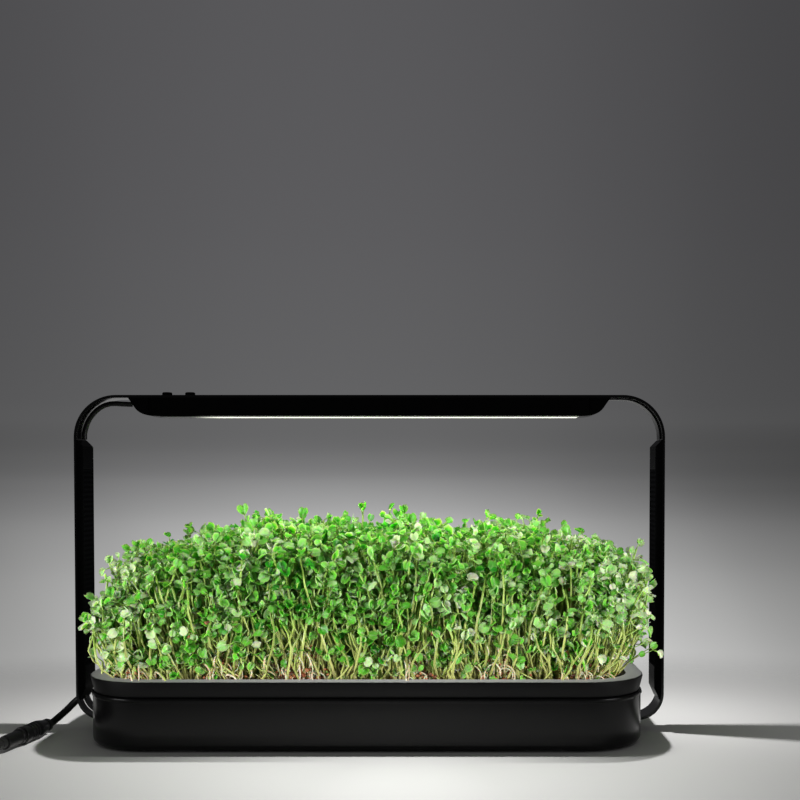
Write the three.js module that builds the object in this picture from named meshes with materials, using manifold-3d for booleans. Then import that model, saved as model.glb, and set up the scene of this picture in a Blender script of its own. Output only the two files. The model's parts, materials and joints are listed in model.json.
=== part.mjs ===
// Hydroponic starter kit: a black bowl with a seed tray and its crop, under a bent strip
// that carries three light bars. Millimetres, +Z up. The origin is on the floor under the
// middle of the bowl, +X runs along the bowl and +Y to the back.
import * as THREE from "three";
import { mergeVertices } from "three/addons/utils/BufferGeometryUtils.js";
import Module from "manifold-3d";

const wasm = await Module();
wasm.setup();

// Clearances shared by all pieces
const fit = 0.3;
const overrun = 2;

// Bent strip
const frameWidth = 420;
const frameTop = 240;
const stripGround = 8;
const stripDepth = 21;
const stripThickness = 2;
const upperBend = 30;
const lowerBend = 19;

// Cable slot through the strip's lower left bend
const slotWidth = 6;
const slotTop = 28.5;
const slotReach = 24;

// Countersunk screws of the light bars and of the foot bars
const screwHead = 2.8;
const screwShank = 1.5;
const screwHeadHeight = 1.5;
const screwLength = 5.2;
const screwSocket = 1.1;
const screwSocketDepth = 1;
const screwSocketFacets = 6;

// Foot bars under the strip, as far in from the bowl's ends and foot ring as is named here
const footInset = 70;
const footWidth = 26;
const footRingGap = 6.5;
const footCorner = 6;

// Bowl
const bowlEndGap = 20;
const bowlHalfDepth = 74.5;
const bowlCorner = 43;
const bowlHeight = 36;
const bowlWall = 5;
const bowlFloor = 4.5;
const bowlOverStrip = 1.5;
const bowlFootRing = 13;
const bowlBaseRound = 4;
const bowlInnerRound = 6;
const bowlBead = 0.8;
const bowlBeadHeight = 3;
const bowlLipRound = 1;
const notchHeadroom = 0.8;

// Silicone pads under the bowl
const padHeight = 0.8;
const padLength = 24;
const padWidth = 5;
const padInset = 8.5;

// Seed tray
const trayOverhang = 0.5;
const trayRise = 11;
const trayDepth = 17;
const trayFlange = 12;
const trayWall = 2;
const traySkirtTaper = 2.5;
const traySkirtWall = 2.2;
const trayDraft = 1.5;
const trayInnerRound = 3;
const trayEdgeRound = 1;
const drainRadius = 2.5;
const drainEndInset = 43.5;
const drainSideInset = 41;
const drainsAlong = 8;
const drainsAcross = 3;

// Growing pad and crop
const growPadThickness = 9.7;
const rootMat = 1.6;
const rootInset = 5;
const sproutCount = 64;
const sproutLow = 82;
const sproutHigh = 108;
const stemWidth = 1.5;
const stemFacets = 3;
const stemStretches = 2;
const leafLength = 13;
const leafWidth = 10;
const leafThickness = 1.6;
const leafRise = 3.5;
const leanAlong = 24;
const leanAcross = 17;
const cropBarGap = 5;
const cropOverhang = 4;
const leafWidestShare = 0.6;

// The crop's dense mass: heights and reaches as shares of its size
const thicketHeight = 86;
const thicketEndInset = 8;
const thicketSideInset = 9;
const thicketCornerInset = 3;
const thicketWobble = 6;
const thicketPointCount = 60;
const thicketShares = [
  [0, 0.84],
  [0.14, 0.86],
  [0.26, 0.92],
  [0.45, 0.95],
  [0.6, 0.98],
  [0.75, 1],
  [0.87, 0.98],
  [0.95, 0.92],
  [1, 0.78],
  [1.03, 0.5],
  [1.04, 0.18],
];
const thicketEndDropShare = 0.12;
const scatterSpread = 8000;
const sproutFootShare = 0.72;
const edgeDropShare = 0.16;
const leafSizeShare = 0.4;
const stemBendShare = -0.12;
const stemTaperShare = 0.1;

// Light bars in general
const barDepth = 24;
const barRound = 1.5;

// Top light bar
const topBarHeight = 13;
const topBarWall = 1.6;
const topBarEndGap = 9;
const topBarSlant = 5;
const topBarSlantDrop = 7.3;
const topBarNose = 20;
const topChannelInset = 15;
const topLensInset = 7;
const topLensFlange = 2;
const topLensDrop = 0.5;
const topLensSlant = 0.5;
const topScrewInset = 9;
const topBoardGap = 2.5;
const boardThickness = 1.2;
const chipHeight = 0.8;
const chipLength = 3.5;
const chipWidth = 2.8;
const topChipCount = 16;

// Side light bars
const sideBarHeight = 5;
const sideBarWall = 1.2;
const sideBarLowGap = 12;
const sideBarHighGap = 1.5;
const sideLowSlant = 11;
const sideHighSlant = 5;
const sideLowCapLength = 18;
const sideHighCapLength = 13.5;
const sideLowTongue = 9;
const sideHighTongue = 8;
const sideLensThickness = 1.2;
const sideLensRecess = 0.4;
const sideBoardThickness = 1;
const sideChipHeight = 0.6;
const sideChipCount = 8;
const sideLowScrewInset = 13;
const sideHighScrewInset = 9;
const sideScrewLength = 4.8;

// Push buttons and the switches that they press
const buttonRadius = 3.55;
const buttonRise = 2.6;
const buttonEdge = 0.5;
const buttonFlange = 1.1;
const buttonFlangeHeight = 0.8;
const buttonTravel = 0.8;
const powerButtonInset = 25;
const buttonPitch = 16.5;
const plungerRadius = 1.5;
const plungerLength = 2;
const plungerHoleDepth = 3.1;
const switchSize = 6;
const switchHeight = 3.5;
const controlBoardMargin = 5.5;
const controlBoardTail = 10;

// Round cable in the left bend and flat ribbon in the right bend
const linkDiameter = 3.8;
const linkSideCount = 10;
const linkTurns = [0.93, 0.84, 0.75, 0.66];
const ribbonWidth = 10;
const ribbonThickness = 0.8;

// Power lead, its in-line socket and plug
const leadDiameter = 5;
const leadSideCount = 10;
const leadPocket = 1.6;
const socketRadius = 6.1;
const socketRearRadius = 4.6;
const socketLength = 35;
const socketNeck = 4.1;
const socketCollar = 4;
const socketTaper = 15;
const socketGrip = 0.5;
const socketGripCount = 4;
const gripSpacing = 3.2;
const plugRadius = 4.7;
const plugShoulder = 5.4;
const plugShoulderLength = 3;
const plugLength = 20;
const reliefLength = 14;
const reliefRadius = 3.7;
const reliefTip = 3.1;
const reliefRibCount = 3;
const reliefGroove = 0.5;

// Coil of the adapter's lead: turns in two layers
const socketRearOut = 17.85;
const socketRearAhead = 17.2;
const socketFrontOut = 23.7;
const socketFrontAhead = 52;
const coilOffset = 84;
const coilCentreY = -71.6;
const coilMiddleRadius = 27.5;
const coilPitch = 5.45;
const coilTurnsIn = 4;
const coilTurnsOut = 3.75;
const coilStepCount = 24;
const coilSideCount = 6;
const climbBowShare = 0.12;
const tieWidth = 8;
const tieThickness = 0.8;
const tieSlack = 0.9;
const tieRound = 2;

// Wall adapter
const adapterOffset = 121;
const adapterLow = -12;
const adapterLength = 46;
const adapterWidth = 42;
const adapterHeight = 27;
const adapterCorner = 5;
const adapterCoverLength = 8;
const adapterCoverInset = 1.5;
const adapterReliefZ = 6;
const adapterReliefLength = 12;
const pinRadius = 2;
const pinLength = 19;
const pinSpacing = 19;
const pinSeat = 3;

// Facets
const bendFacets = 10;
const cornerFacets = 7;
const roundFacets = 3;
const turnedFacets = 18;
const smallFacets = 10;
const drainFacets = 6;

// Places that follow from the sizes above
const halfWidth = frameWidth / 2;
const innerX = halfWidth - stripThickness;
const stripUnderside = frameTop - stripThickness;
const stripFloorTop = stripGround + stripThickness;
const bowlHalfLength = halfWidth - bowlEndGap;
const bowlRecess = stripFloorTop + bowlOverStrip;
const bowlFloorTop = bowlRecess + bowlFloor;
const footX = bowlHalfLength - footInset;
const footReach = 2 * (bowlHalfDepth - bowlFootRing - footRingGap);
const trayHalfLength = bowlHalfLength + trayOverhang;
const trayHalfDepth = bowlHalfDepth + trayOverhang;
const trayGround = bowlHeight + fit;
const trayTop = bowlHeight + trayRise;
const trayFloorTop = trayTop - trayDepth;
const trayUnderside = trayFloorTop - trayWall;
const growPadLow = trayFloorTop + fit;
const growPadTop = growPadLow + growPadThickness;
const growPadInset = trayFlange + trayDraft + trayInnerRound + fit;
const growPadCorner = bowlCorner - growPadInset;
const rootLow = growPadTop + fit;
const rootTop = rootLow + rootMat;
const topBarLow = stripUnderside - topBarHeight;
const topBarHalf = halfWidth - upperBend - topBarEndGap;
const topBarFlatHalf = topBarHalf - topBarNose;
const topChannelHalf = topBarHalf - topChannelInset;
const topLensHalf = topChannelHalf - topLensInset;
const topScrewX = topBarHalf - topScrewInset;
const powerButtonX = powerButtonInset - topBarHalf;
const timerButtonX = powerButtonX + buttonPitch;
const controlBoardLow = powerButtonX - controlBoardMargin;
const controlBoardHigh = timerButtonX + controlBoardTail;
const topBoardStart = controlBoardHigh + topBoardGap;
const sideFaceX = innerX - sideBarHeight;
const sideBarLow = stripGround + sideBarLowGap;
const sideBarHigh = frameTop - upperBend - sideBarHighGap;
const sideChannelLow = sideBarLow + sideLowCapLength;
const sideChannelHigh = sideBarHigh - sideHighCapLength;
const sideLensLow = sideChannelLow + sideLowTongue;
const sideLensHigh = sideChannelHigh - sideHighTongue;
const cropHalfLength = sideFaceX - cropBarGap;
const cropHalfDepth = trayHalfDepth + cropOverhang;
const coilCentre = new THREE.Vector2(-halfWidth - coilOffset, coilCentreY);
const adapterCentreX = -halfWidth - adapterOffset;

// Finishes
function finish(color, roughness, metalness = 0) {
  return new THREE.MeshStandardMaterial({ color, roughness, metalness });
}

const paintedSteel = finish(0x161617, 0.32, 0.4);
const barPlastic = finish(0x141415, 0.35);
const opal = finish(0xf4efe2, 0.45);
const boardGreen = finish(0x22543a, 0.5);
const blackCeramic = finish(0x1b1b1d, 0.62);
const trayPlastic = finish(0x1f1f21, 0.55);
const felt = finish(0x6b5a44, 0.95);
const leafGreen = finish(0x5f9a2c, 0.6);
const rubber = finish(0x121212, 0.8);
const cableBlack = finish(0x151515, 0.5);
const steel = finish(0xb9bcc0, 0.3, 1);
const switchBlack = finish(0x18181a, 0.5);
const plungerGrey = finish(0x8f9296, 0.5);
const adapterBlack = finish(0x18181a, 0.45);

const kit = new THREE.Group();

// A closed geometry as a solid, with its faces turned outwards
function toSolid(geometry) {
  const bare = geometry.clone();
  bare.deleteAttribute("normal");
  bare.deleteAttribute("uv");
  const merged = mergeVertices(bare);
  const place = merged.attributes.position;
  const triangles = [];
  let volume = 0;
  const corners = [new THREE.Vector3(), new THREE.Vector3(), new THREE.Vector3()];
  for (let first = 0; first < merged.index.count; first += corners.length) {
    const ids = corners.map((_, side) => merged.index.getX(first + side));
    if (new Set(ids).size < corners.length) continue;
    ids.forEach((id, side) => corners[side].fromBufferAttribute(place, id));
    volume += corners[0].dot(corners[1].clone().cross(corners[2]));
    triangles.push(ids);
  }
  if (volume < 0) triangles.forEach((ids) => ids.reverse());
  return new wasm.Manifold(
    new wasm.Mesh({
      numProp: 3,
      vertProperties: Float32Array.from(place.array),
      triVerts: Uint32Array.from(triangles.flat()),
    }),
  );
}

function toGeometry(solid) {
  const raw = solid.getMesh();
  const geometry = new THREE.BufferGeometry();
  geometry.setAttribute("position", new THREE.BufferAttribute(Float32Array.from(raw.vertProperties), 3));
  geometry.setIndex(new THREE.BufferAttribute(Uint32Array.from(raw.triVerts), 1));
  geometry.computeVertexNormals();
  return geometry;
}

function part(name, solid, material) {
  const mesh = new THREE.Mesh(toGeometry(solid), material);
  mesh.name = name;
  kit.add(mesh);
}

// The parts of a solid at the left again at the right
function mirrored(geometry) {
  const copy = geometry.clone();
  copy.scale(-1, 1, 1);
  return copy;
}

function sided(geometry, side) {
  return side < 0 ? geometry : mirrored(geometry);
}

// A box between two corners
function box(low, high) {
  const geometry = new THREE.BoxGeometry(...high.map((value, axis) => value - low[axis]));
  geometry.translate(...high.map((value, axis) => (value + low[axis]) / 2));
  return geometry;
}

const alongX = new THREE.Vector3(1, 0, 0);
const alongY = new THREE.Vector3(0, 1, 0);
const alongZ = new THREE.Vector3(0, 0, 1);
const toFront = new THREE.Vector3(0, -1, 0);

// An outline drawn in X and Z, extruded equally to the front and the back
function acrossDepth(shape, depth, curveSegments = bendFacets) {
  const geometry = new THREE.ExtrudeGeometry(shape, { depth, bevelEnabled: false, curveSegments });
  geometry.applyMatrix4(new THREE.Matrix4().makeBasis(alongX, alongZ, toFront));
  geometry.translate(0, depth / 2, 0);
  return geometry;
}

// An outline drawn in Y and Z, extruded from one X to another
function alongBar(shape, from, to) {
  const settings = { depth: to - from, bevelEnabled: false, curveSegments: roundFacets };
  const geometry = new THREE.ExtrudeGeometry(shape, settings);
  geometry.applyMatrix4(new THREE.Matrix4().makeBasis(alongY, alongZ, alongX));
  geometry.translate(from, 0, 0);
  return geometry;
}

// An outline drawn in X and Y, extruded from one height to another
function upright(shape, from, to, curveSegments = roundFacets) {
  const geometry = new THREE.ExtrudeGeometry(shape, {
    depth: to - from,
    bevelEnabled: false,
    curveSegments,
  });
  geometry.translate(0, 0, from);
  return geometry;
}

// An outline of straight lines through the given points
function polygon(points) {
  return new THREE.Shape(points.map(([across, up]) => new THREE.Vector2(across, up)));
}

// A rectangle with four like round corners about a centre
function roundedRectangle(halfAcross, halfUp, radius, centre = new THREE.Vector2()) {
  const shape = new THREE.Shape();
  const right = halfAcross - radius;
  const top = halfUp - radius;
  const quarter = Math.PI / 2;
  [[right, -top], [right, top], [-right, top], [-right, -top]].forEach(([across, up], turn) => {
    const start = (turn - 1) * quarter;
    shape.absarc(centre.x + across, centre.y + up, radius, start, start + quarter);
  });
  return shape;
}

// A turned piece about Z from its profile of radius and height
function turned(profile, facets = turnedFacets) {
  const points = profile.map(([radius, height]) => new THREE.Vector2(radius, height));
  const geometry = new THREE.LatheGeometry(points, facets);
  geometry.rotateX(Math.PI / 2);
  return geometry;
}

// Points of a round stretch of a profile, from one angle to another
function roundOf([across, up], radius, from, to, steps = roundFacets) {
  return Array.from({ length: steps + 1 }, (_, step) => {
    const angle = from + ((to - from) * step) / steps;
    return [across + radius * Math.cos(angle), up + radius * Math.sin(angle)];
  });
}

// A rounded rectangular vessel: a profile of inset and height swept round its plan
function vessel(halfLength, halfDepth, corner, profile) {
  const places = [];
  const triangles = [];
  const quarter = Math.PI / 2;
  const ringSize = 4 * (cornerFacets + 1);
  for (const [inset, height] of profile) {
    const radius = Math.max(corner - inset, fit);
    const across = halfLength - inset - radius;
    const deep = halfDepth - inset - radius;
    [[1, 1], [-1, 1], [-1, -1], [1, -1]].forEach(([signX, signY], turn) => {
      for (let step = 0; step <= cornerFacets; step += 1) {
        const angle = (turn + step / cornerFacets) * quarter;
        places.push(signX * across + radius * Math.cos(angle));
        places.push(signY * deep + radius * Math.sin(angle), height);
      }
    });
  }
  for (let ring = 0; ring < profile.length - 1; ring += 1) {
    for (let side = 0; side < ringSize; side += 1) {
      const here = ring * ringSize + side;
      const next = ring * ringSize + ((side + 1) % ringSize);
      triangles.push(here, next, next + ringSize, here, next + ringSize, here + ringSize);
    }
  }
  const firstCentre = places.length / 3;
  const lastRing = (profile.length - 1) * ringSize;
  places.push(0, 0, profile[0][1], 0, 0, profile[profile.length - 1][1]);
  for (let side = 0; side < ringSize; side += 1) {
    const next = (side + 1) % ringSize;
    triangles.push(firstCentre, next, side);
    triangles.push(firstCentre + 1, lastRing + side, lastRing + next);
  }
  const geometry = new THREE.BufferGeometry();
  geometry.setAttribute("position", new THREE.Float32BufferAttribute(places, 3));
  geometry.setIndex(triangles);
  return toSolid(geometry);
}

// Outline of the closed strip, drawn in X and Z, drawn in by an inset
function stripOutline(inset) {
  const half = halfWidth - inset;
  const low = stripGround + inset;
  const high = frameTop - inset;
  const lower = lowerBend - inset;
  const upper = upperBend - inset;
  const quarter = Math.PI / 2;
  const outline = new THREE.Shape();
  outline.absarc(half - lower, low + lower, lower, -quarter, 0);
  outline.absarc(half - upper, high - upper, upper, 0, quarter);
  outline.absarc(upper - half, high - upper, upper, quarter, 2 * quarter);
  outline.absarc(lower - half, low + lower, lower, 2 * quarter, 3 * quarter);
  return outline;
}

// A countersunk screw or, with a clearance, the hole for it: its head's face at height zero
function screwForm(length, clearance) {
  const top = clearance > 0 ? overrun : 0;
  return toSolid(
    turned(
      [
        [0, -length - clearance],
        [screwShank + clearance, -length - clearance],
        [screwShank + clearance, -screwHeadHeight],
        [screwHead + clearance, 0],
        [screwHead + clearance, top],
        [0, top],
      ],
      smallFacets,
    ),
  );
}

function screwSolid(length) {
  const recess = new THREE.CylinderGeometry(screwSocket, screwSocket, 2 * screwSocketDepth, screwSocketFacets);
  recess.rotateX(Math.PI / 2);
  return screwForm(length, 0).subtract(toSolid(recess));
}

// The places of the screws: each with its head's centre and the way that the head faces
const headUp = new THREE.Matrix4();
const headLeft = new THREE.Matrix4().makeRotationY(-Math.PI / 2);
const headRight = new THREE.Matrix4().makeRotationY(Math.PI / 2);
const screws = [];
for (const [sideName, side, facing] of [["left", -1, headLeft], ["right", 1, headRight]]) {
  screws.push(
    { name: `top_screw_${sideName}`, at: [side * topScrewX, 0, frameTop], facing: headUp, length: screwLength },
    { name: `foot_screw_${sideName}`, at: [side * footX, 0, stripFloorTop], facing: headUp, length: screwLength },
    { name: `${sideName}_screw_low`, at: [side * halfWidth, 0, sideBarLow + sideLowScrewInset], facing,
      length: sideScrewLength },
    { name: `${sideName}_screw_high`, at: [side * halfWidth, 0, sideBarHigh - sideHighScrewInset], facing,
      length: sideScrewLength },
  );
}

function atScrew(solid, screw) {
  const geometry = toGeometry(solid);
  geometry.applyMatrix4(screw.facing);
  geometry.translate(...screw.at);
  return toSolid(geometry);
}

const screwHoles = screws.map((screw) => atScrew(screwForm(screw.length, fit), screw));

function withScrewHoles(solid) {
  return screwHoles.reduce((cut, hole) => cut.subtract(hole), solid);
}

// Upright round hole or rod between two heights
function rod(x, y, radius, from, to, facets = turnedFacets) {
  const geometry = new THREE.CylinderGeometry(radius, radius, to - from, facets);
  geometry.rotateX(Math.PI / 2);
  geometry.translate(x, y, (from + to) / 2);
  return geometry;
}

function withButtonHoles(solid) {
  return [powerButtonX, timerButtonX].reduce(
    (cut, x) => cut.subtract(
      toSolid(rod(x, 0, buttonRadius + fit, topBarLow + topLensFlange + overrun, frameTop + overrun)),
    ),
    solid,
  );
}

function makeStrip() {
  const outline = stripOutline(0);
  outline.holes.push(stripOutline(stripThickness));
  const band = toSolid(acrossDepth(outline, stripDepth));
  const slot = toSolid(
    box(
      [-halfWidth - overrun, -slotWidth / 2, stripGround - overrun],
      [-halfWidth + slotReach, slotWidth / 2, slotTop],
    ),
  );
  part("frame_strip", withButtonHoles(withScrewHoles(band.subtract(slot))), paintedSteel);
}

function makeFeet() {
  for (const [name, side] of [["foot_left", -1], ["foot_right", 1]]) {
    const centre = new THREE.Vector2(side * footX, 0);
    const plan = roundedRectangle(footWidth / 2, footReach / 2, footCorner, centre);
    part(name, withScrewHoles(toSolid(upright(plan, 0, stripGround))), rubber);
  }
}

function makeScrews() {
  for (const screw of screws) part(screw.name, atScrew(screwSolid(screw.length), screw), steel);
}

function makeBowl() {
  const quarter = Math.PI / 2;
  const wallTop = bowlHeight - bowlBeadHeight;
  const profile = [
    [bowlFootRing, bowlRecess],
    [bowlFootRing, padHeight],
    ...roundOf([bowlBead + bowlBaseRound, padHeight + bowlBaseRound], bowlBaseRound, -quarter, -2 * quarter),
    [bowlBead, wallTop],
    [0, wallTop + bowlBead],
    ...roundOf([bowlLipRound, bowlHeight - bowlLipRound], bowlLipRound, 2 * quarter, quarter),
    ...roundOf([bowlWall - bowlLipRound, bowlHeight - bowlLipRound], bowlLipRound, quarter, 0),
    ...roundOf([bowlWall + bowlInnerRound, bowlFloorTop + bowlInnerRound], bowlInnerRound, 2 * quarter,
      3 * quarter),
  ];
  const shell = vessel(bowlHalfLength, bowlHalfDepth, bowlCorner, profile);
  const notch = (side) => {
    const outer = bowlHalfLength + overrun;
    const inner = bowlHalfLength - bowlFootRing - overrun;
    const xs = [side * outer, side * inner].sort((low, high) => low - high);
    const half = stripDepth / 2 + notchHeadroom;
    return toSolid(box([xs[0], -half, -overrun], [xs[1], half, stripFloorTop + notchHeadroom]));
  };
  part("bowl", shell.subtract(notch(-1)).subtract(notch(1)), blackCeramic);
}

function makeBowlPads() {
  for (const [sideName, side] of [["left", -1], ["right", 1]]) {
    for (const [rowName, row] of [["front", -1], ["back", 1]]) {
      const centre = new THREE.Vector2(side * footX, row * (bowlHalfDepth - padInset));
      const plan = roundedRectangle(padLength / 2, padWidth / 2, padWidth / 2 - fit, centre);
      part(`bowl_pad_${rowName}_${sideName}`, toSolid(upright(plan, 0, padHeight)), rubber);
    }
  }
}

function makeTray() {
  const quarter = Math.PI / 2;
  const shelf = trayTop - trayWall;
  const basinOuter = trayFlange - trayWall;
  const floorOuter = basinOuter + trayDraft;
  const profile = [
    [floorOuter + trayInnerRound, trayUnderside],
    [floorOuter, trayUnderside + trayInnerRound],
    [basinOuter, shelf],
    [traySkirtWall, shelf],
    [traySkirtTaper + traySkirtWall, trayGround],
    [traySkirtTaper, trayGround],
    ...roundOf([trayEdgeRound, trayTop - trayEdgeRound], trayEdgeRound, 2 * quarter, quarter),
    ...roundOf([trayFlange - trayEdgeRound, trayTop - trayEdgeRound], trayEdgeRound, quarter, 0),
    ...roundOf([trayFlange + trayDraft + trayInnerRound, trayFloorTop + trayInnerRound], trayInnerRound,
      2 * quarter, 3 * quarter),
  ];
  let tray = vessel(trayHalfLength, trayHalfDepth, bowlCorner, profile);
  const alongPitch = (2 * (trayHalfLength - drainEndInset)) / (drainsAlong - 1);
  const acrossPitch = (2 * (trayHalfDepth - drainSideInset)) / (drainsAcross - 1);
  for (let column = 0; column < drainsAlong; column += 1) {
    for (let row = 0; row < drainsAcross; row += 1) {
      const x = (column - (drainsAlong - 1) / 2) * alongPitch;
      const y = (row - (drainsAcross - 1) / 2) * acrossPitch;
      const drain = rod(x, y, drainRadius, trayUnderside - overrun, trayFloorTop + overrun, drainFacets);
      tray = tray.subtract(toSolid(drain));
    }
  }
  part("seed_tray", tray, trayPlastic);
}

// A flat slab whose plan follows the tray's basin
function basinSlab(inset, from, to) {
  const plan = roundedRectangle(trayHalfLength - inset, trayHalfDepth - inset, growPadCorner);
  return toSolid(upright(plan, from, to, cornerFacets));
}

function makeGrowPad() {
  part("grow_pad", basinSlab(growPadInset, growPadLow, growPadTop), felt);
}

// A repeatable number from zero to one for each sprout and purpose
function scatter(index, purpose) {
  const turn = Math.sin((index + 1) * (purpose + Math.E)) * scatterSpread;
  return turn - Math.floor(turn);
}

// A closed tapered sweep of flat rings, each a list of points that run the same way round
function ringed(rings) {
  const sides = rings[0].length;
  const places = rings.flat().flatMap((point) => [point.x, point.y, point.z]);
  const triangles = [];
  for (let ring = 0; ring < rings.length - 1; ring += 1) {
    for (let side = 0; side < sides; side += 1) {
      const here = ring * sides + side;
      const next = ring * sides + ((side + 1) % sides);
      triangles.push(here, next, next + sides, here, next + sides, here + sides);
    }
  }
  const last = (rings.length - 1) * sides;
  for (let side = 1; side < sides - 1; side += 1) {
    triangles.push(0, side + 1, side, last, last + side, last + side + 1);
  }
  const geometry = new THREE.BufferGeometry();
  geometry.setAttribute("position", new THREE.Float32BufferAttribute(places, 3));
  geometry.setIndex(triangles);
  return geometry;
}

// A thin stem that bends from its foot to its top
function stem(foot, top, lean) {
  const middle = foot.clone().lerp(top, 1 / stemStretches).addScaledVector(lean, stemBendShare);
  const rings = [foot, middle, top].map((centre, level) =>
    Array.from({ length: stemFacets }, (_, side) => {
      const angle = (side * 2 * Math.PI) / stemFacets;
      const radius = (stemWidth / 2) * (1 + (stemStretches - level) * stemTaperShare);
      return centre.clone().add(new THREE.Vector3(Math.cos(angle), Math.sin(angle), 0).multiplyScalar(radius));
    }),
  );
  return toSolid(ringed(rings));
}

// A pair of seed leaves: one thin form with a waist over the stem, rising to both tips
function leafPair(middle, heading, size) {
  const out = new THREE.Vector3(Math.cos(heading), Math.sin(heading), 0);
  const across = new THREE.Vector3(-out.y, out.x, 0);
  const at = (forward, sideways, up) =>
    middle.clone().addScaledVector(out, forward * size).addScaledVector(across, sideways * size)
      .addScaledVector(alongZ, up * size);
  const widest = leafLength * leafWidestShare;
  const rise = leafRise * leafWidestShare;
  const rim = [
    at(leafLength, 0, leafRise),
    at(widest, leafWidth / 2, rise),
    at(0, stemWidth, 0),
    at(-widest, leafWidth / 2, rise),
    at(-leafLength, 0, leafRise),
    at(-widest, -leafWidth / 2, rise),
    at(0, -stemWidth, 0),
    at(widest, -leafWidth / 2, rise),
  ];
  const corners = [...rim, at(0, 0, leafThickness / 2), at(0, 0, -leafThickness / 2)];
  const triangles = rim.flatMap((_, side) => {
    const next = (side + 1) % rim.length;
    return [side, next, rim.length, next, side, rim.length + 1];
  });
  const geometry = new THREE.BufferGeometry();
  geometry.setAttribute(
    "position",
    new THREE.Float32BufferAttribute(corners.flatMap((point) => [point.x, point.y, point.z]), 3),
  );
  geometry.setIndex(triangles);
  return toSolid(geometry);
}

// The dense mass of stems and leaves: drawn in at its foot, crowned, and lower at both ends
function thicket() {
  const halfLength = trayHalfLength - thicketEndInset;
  const halfDepth = trayHalfDepth - thicketSideInset;
  const corner = bowlCorner - thicketCornerInset;
  const rings = thicketShares.map(([upShare, reachShare], level) => {
    const outline = roundedRectangle(halfLength * reachShare, halfDepth * reachShare, corner * reachShare);
    outline.closePath();
    const wobble = (side, way) =>
      level === 0 ? 0 : (scatter(side, 3 * level + way) - 1 / 2) * thicketWobble;
    return outline.getSpacedPoints(thicketPointCount).slice(0, thicketPointCount).map((point, side) => {
      const drop = 1 - thicketEndDropShare * (point.x / halfLength) ** 6;
      return new THREE.Vector3(
        point.x + wobble(side, 0),
        point.y + wobble(side, 1),
        rootLow + rootMat / 2 + upShare * drop * thicketHeight + wobble(side, 2),
      );
    });
  });
  return toSolid(ringed(rings));
}

// A sprout that breaks out of the mass, leaning outwards towards the edges of the crop
function sprout(index) {
  const golden = (Math.sqrt(5) - 1) / 2;
  const alongShare = (index + 1 / 2) / sproutCount;
  const acrossShare = (index * golden) % 1;
  const outX = 2 * alongShare - 1;
  const outY = 2 * acrossShare - 1;
  const inset = growPadInset + 2 * rootInset;
  const root = new THREE.Vector3(
    outX * (trayHalfLength - inset), outY * (trayHalfDepth - inset), rootTop,
  );
  const spread = new THREE.Vector3(
    leanAlong * outX ** 3 + (scatter(index, 1) - 1 / 2) * rootInset,
    leanAcross * outY + (scatter(index, 2) - 1 / 2) * rootInset,
    (sproutLow + (sproutHigh - sproutLow) * scatter(index, 3)) * (1 - edgeDropShare * outX ** 6),
  );
  const top = root.clone().add(spread);
  const foot = root.clone().addScaledVector(spread, sproutFootShare);
  const size = 1 + (scatter(index, 5) - 1 / 2) * leafSizeShare;
  return stem(foot, top, spread.setZ(0)).add(leafPair(top, scatter(index, 4) * Math.PI * 2, size));
}

// The crop stays clear of the side bars, so it is cut at a box
function makeCrop() {
  const mat = basinSlab(growPadInset + rootInset, rootLow, rootTop);
  const sprouts = [thicket(), ...Array.from({ length: sproutCount }, (_, index) => sprout(index))];
  while (sprouts.length > 1) {
    sprouts.push(sprouts.shift().add(sprouts.shift()));
  }
  const room = toSolid(
    box([-cropHalfLength, -cropHalfDepth, rootLow], [cropHalfLength, cropHalfDepth, topBarLow]),
  );
  const crop = mat.add(sprouts[0]).intersect(room);
  const whole = crop.decompose().sort((one, other) => other.volume() - one.volume())[0];
  part("sprouts", whole, leafGreen);
}

// The outside of a bar in Y and one other axis: its back at one height, its mouth at another
function barOutline(back, mouth) {
  const half = barDepth / 2;
  const round = Math.sign(mouth - back) * barRound;
  return [
    [-half, back],
    [half, back],
    [half, mouth - round],
    [half - barRound / 2, mouth],
    [barRound / 2 - half, mouth],
    [-half, mouth - round],
  ];
}

// The same bar hollowed from its mouth, with a wall left at its back and sides
function channelOutline(wall, back, mouth) {
  const inside = barDepth / 2 - wall;
  const seat = back + Math.sign(mouth - back) * wall;
  const points = barOutline(back, mouth);
  points.splice(4, 0, [inside, mouth], [inside, seat], [-inside, seat], [-inside, mouth]);
  return polygon(points);
}

// Outline of the top bar in X and Z, with its ends curved up to the strip
function topBarEnds() {
  const knee = stripUnderside - topBarSlantDrop;
  const kneeHalf = topBarHalf - topBarSlant;
  const turnHalf = kneeHalf - (topBarSlant * (knee - topBarLow)) / topBarSlantDrop;
  const outline = new THREE.Shape();
  outline.moveTo(topBarHalf, stripUnderside);
  outline.lineTo(-topBarHalf, stripUnderside);
  outline.lineTo(-kneeHalf, knee);
  outline.quadraticCurveTo(-turnHalf, topBarLow, -topBarFlatHalf, topBarLow);
  outline.lineTo(topBarFlatHalf, topBarLow);
  outline.quadraticCurveTo(turnHalf, topBarLow, kneeHalf, knee);
  return toSolid(acrossDepth(outline, barDepth + overrun, 2 * roundFacets));
}

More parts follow.
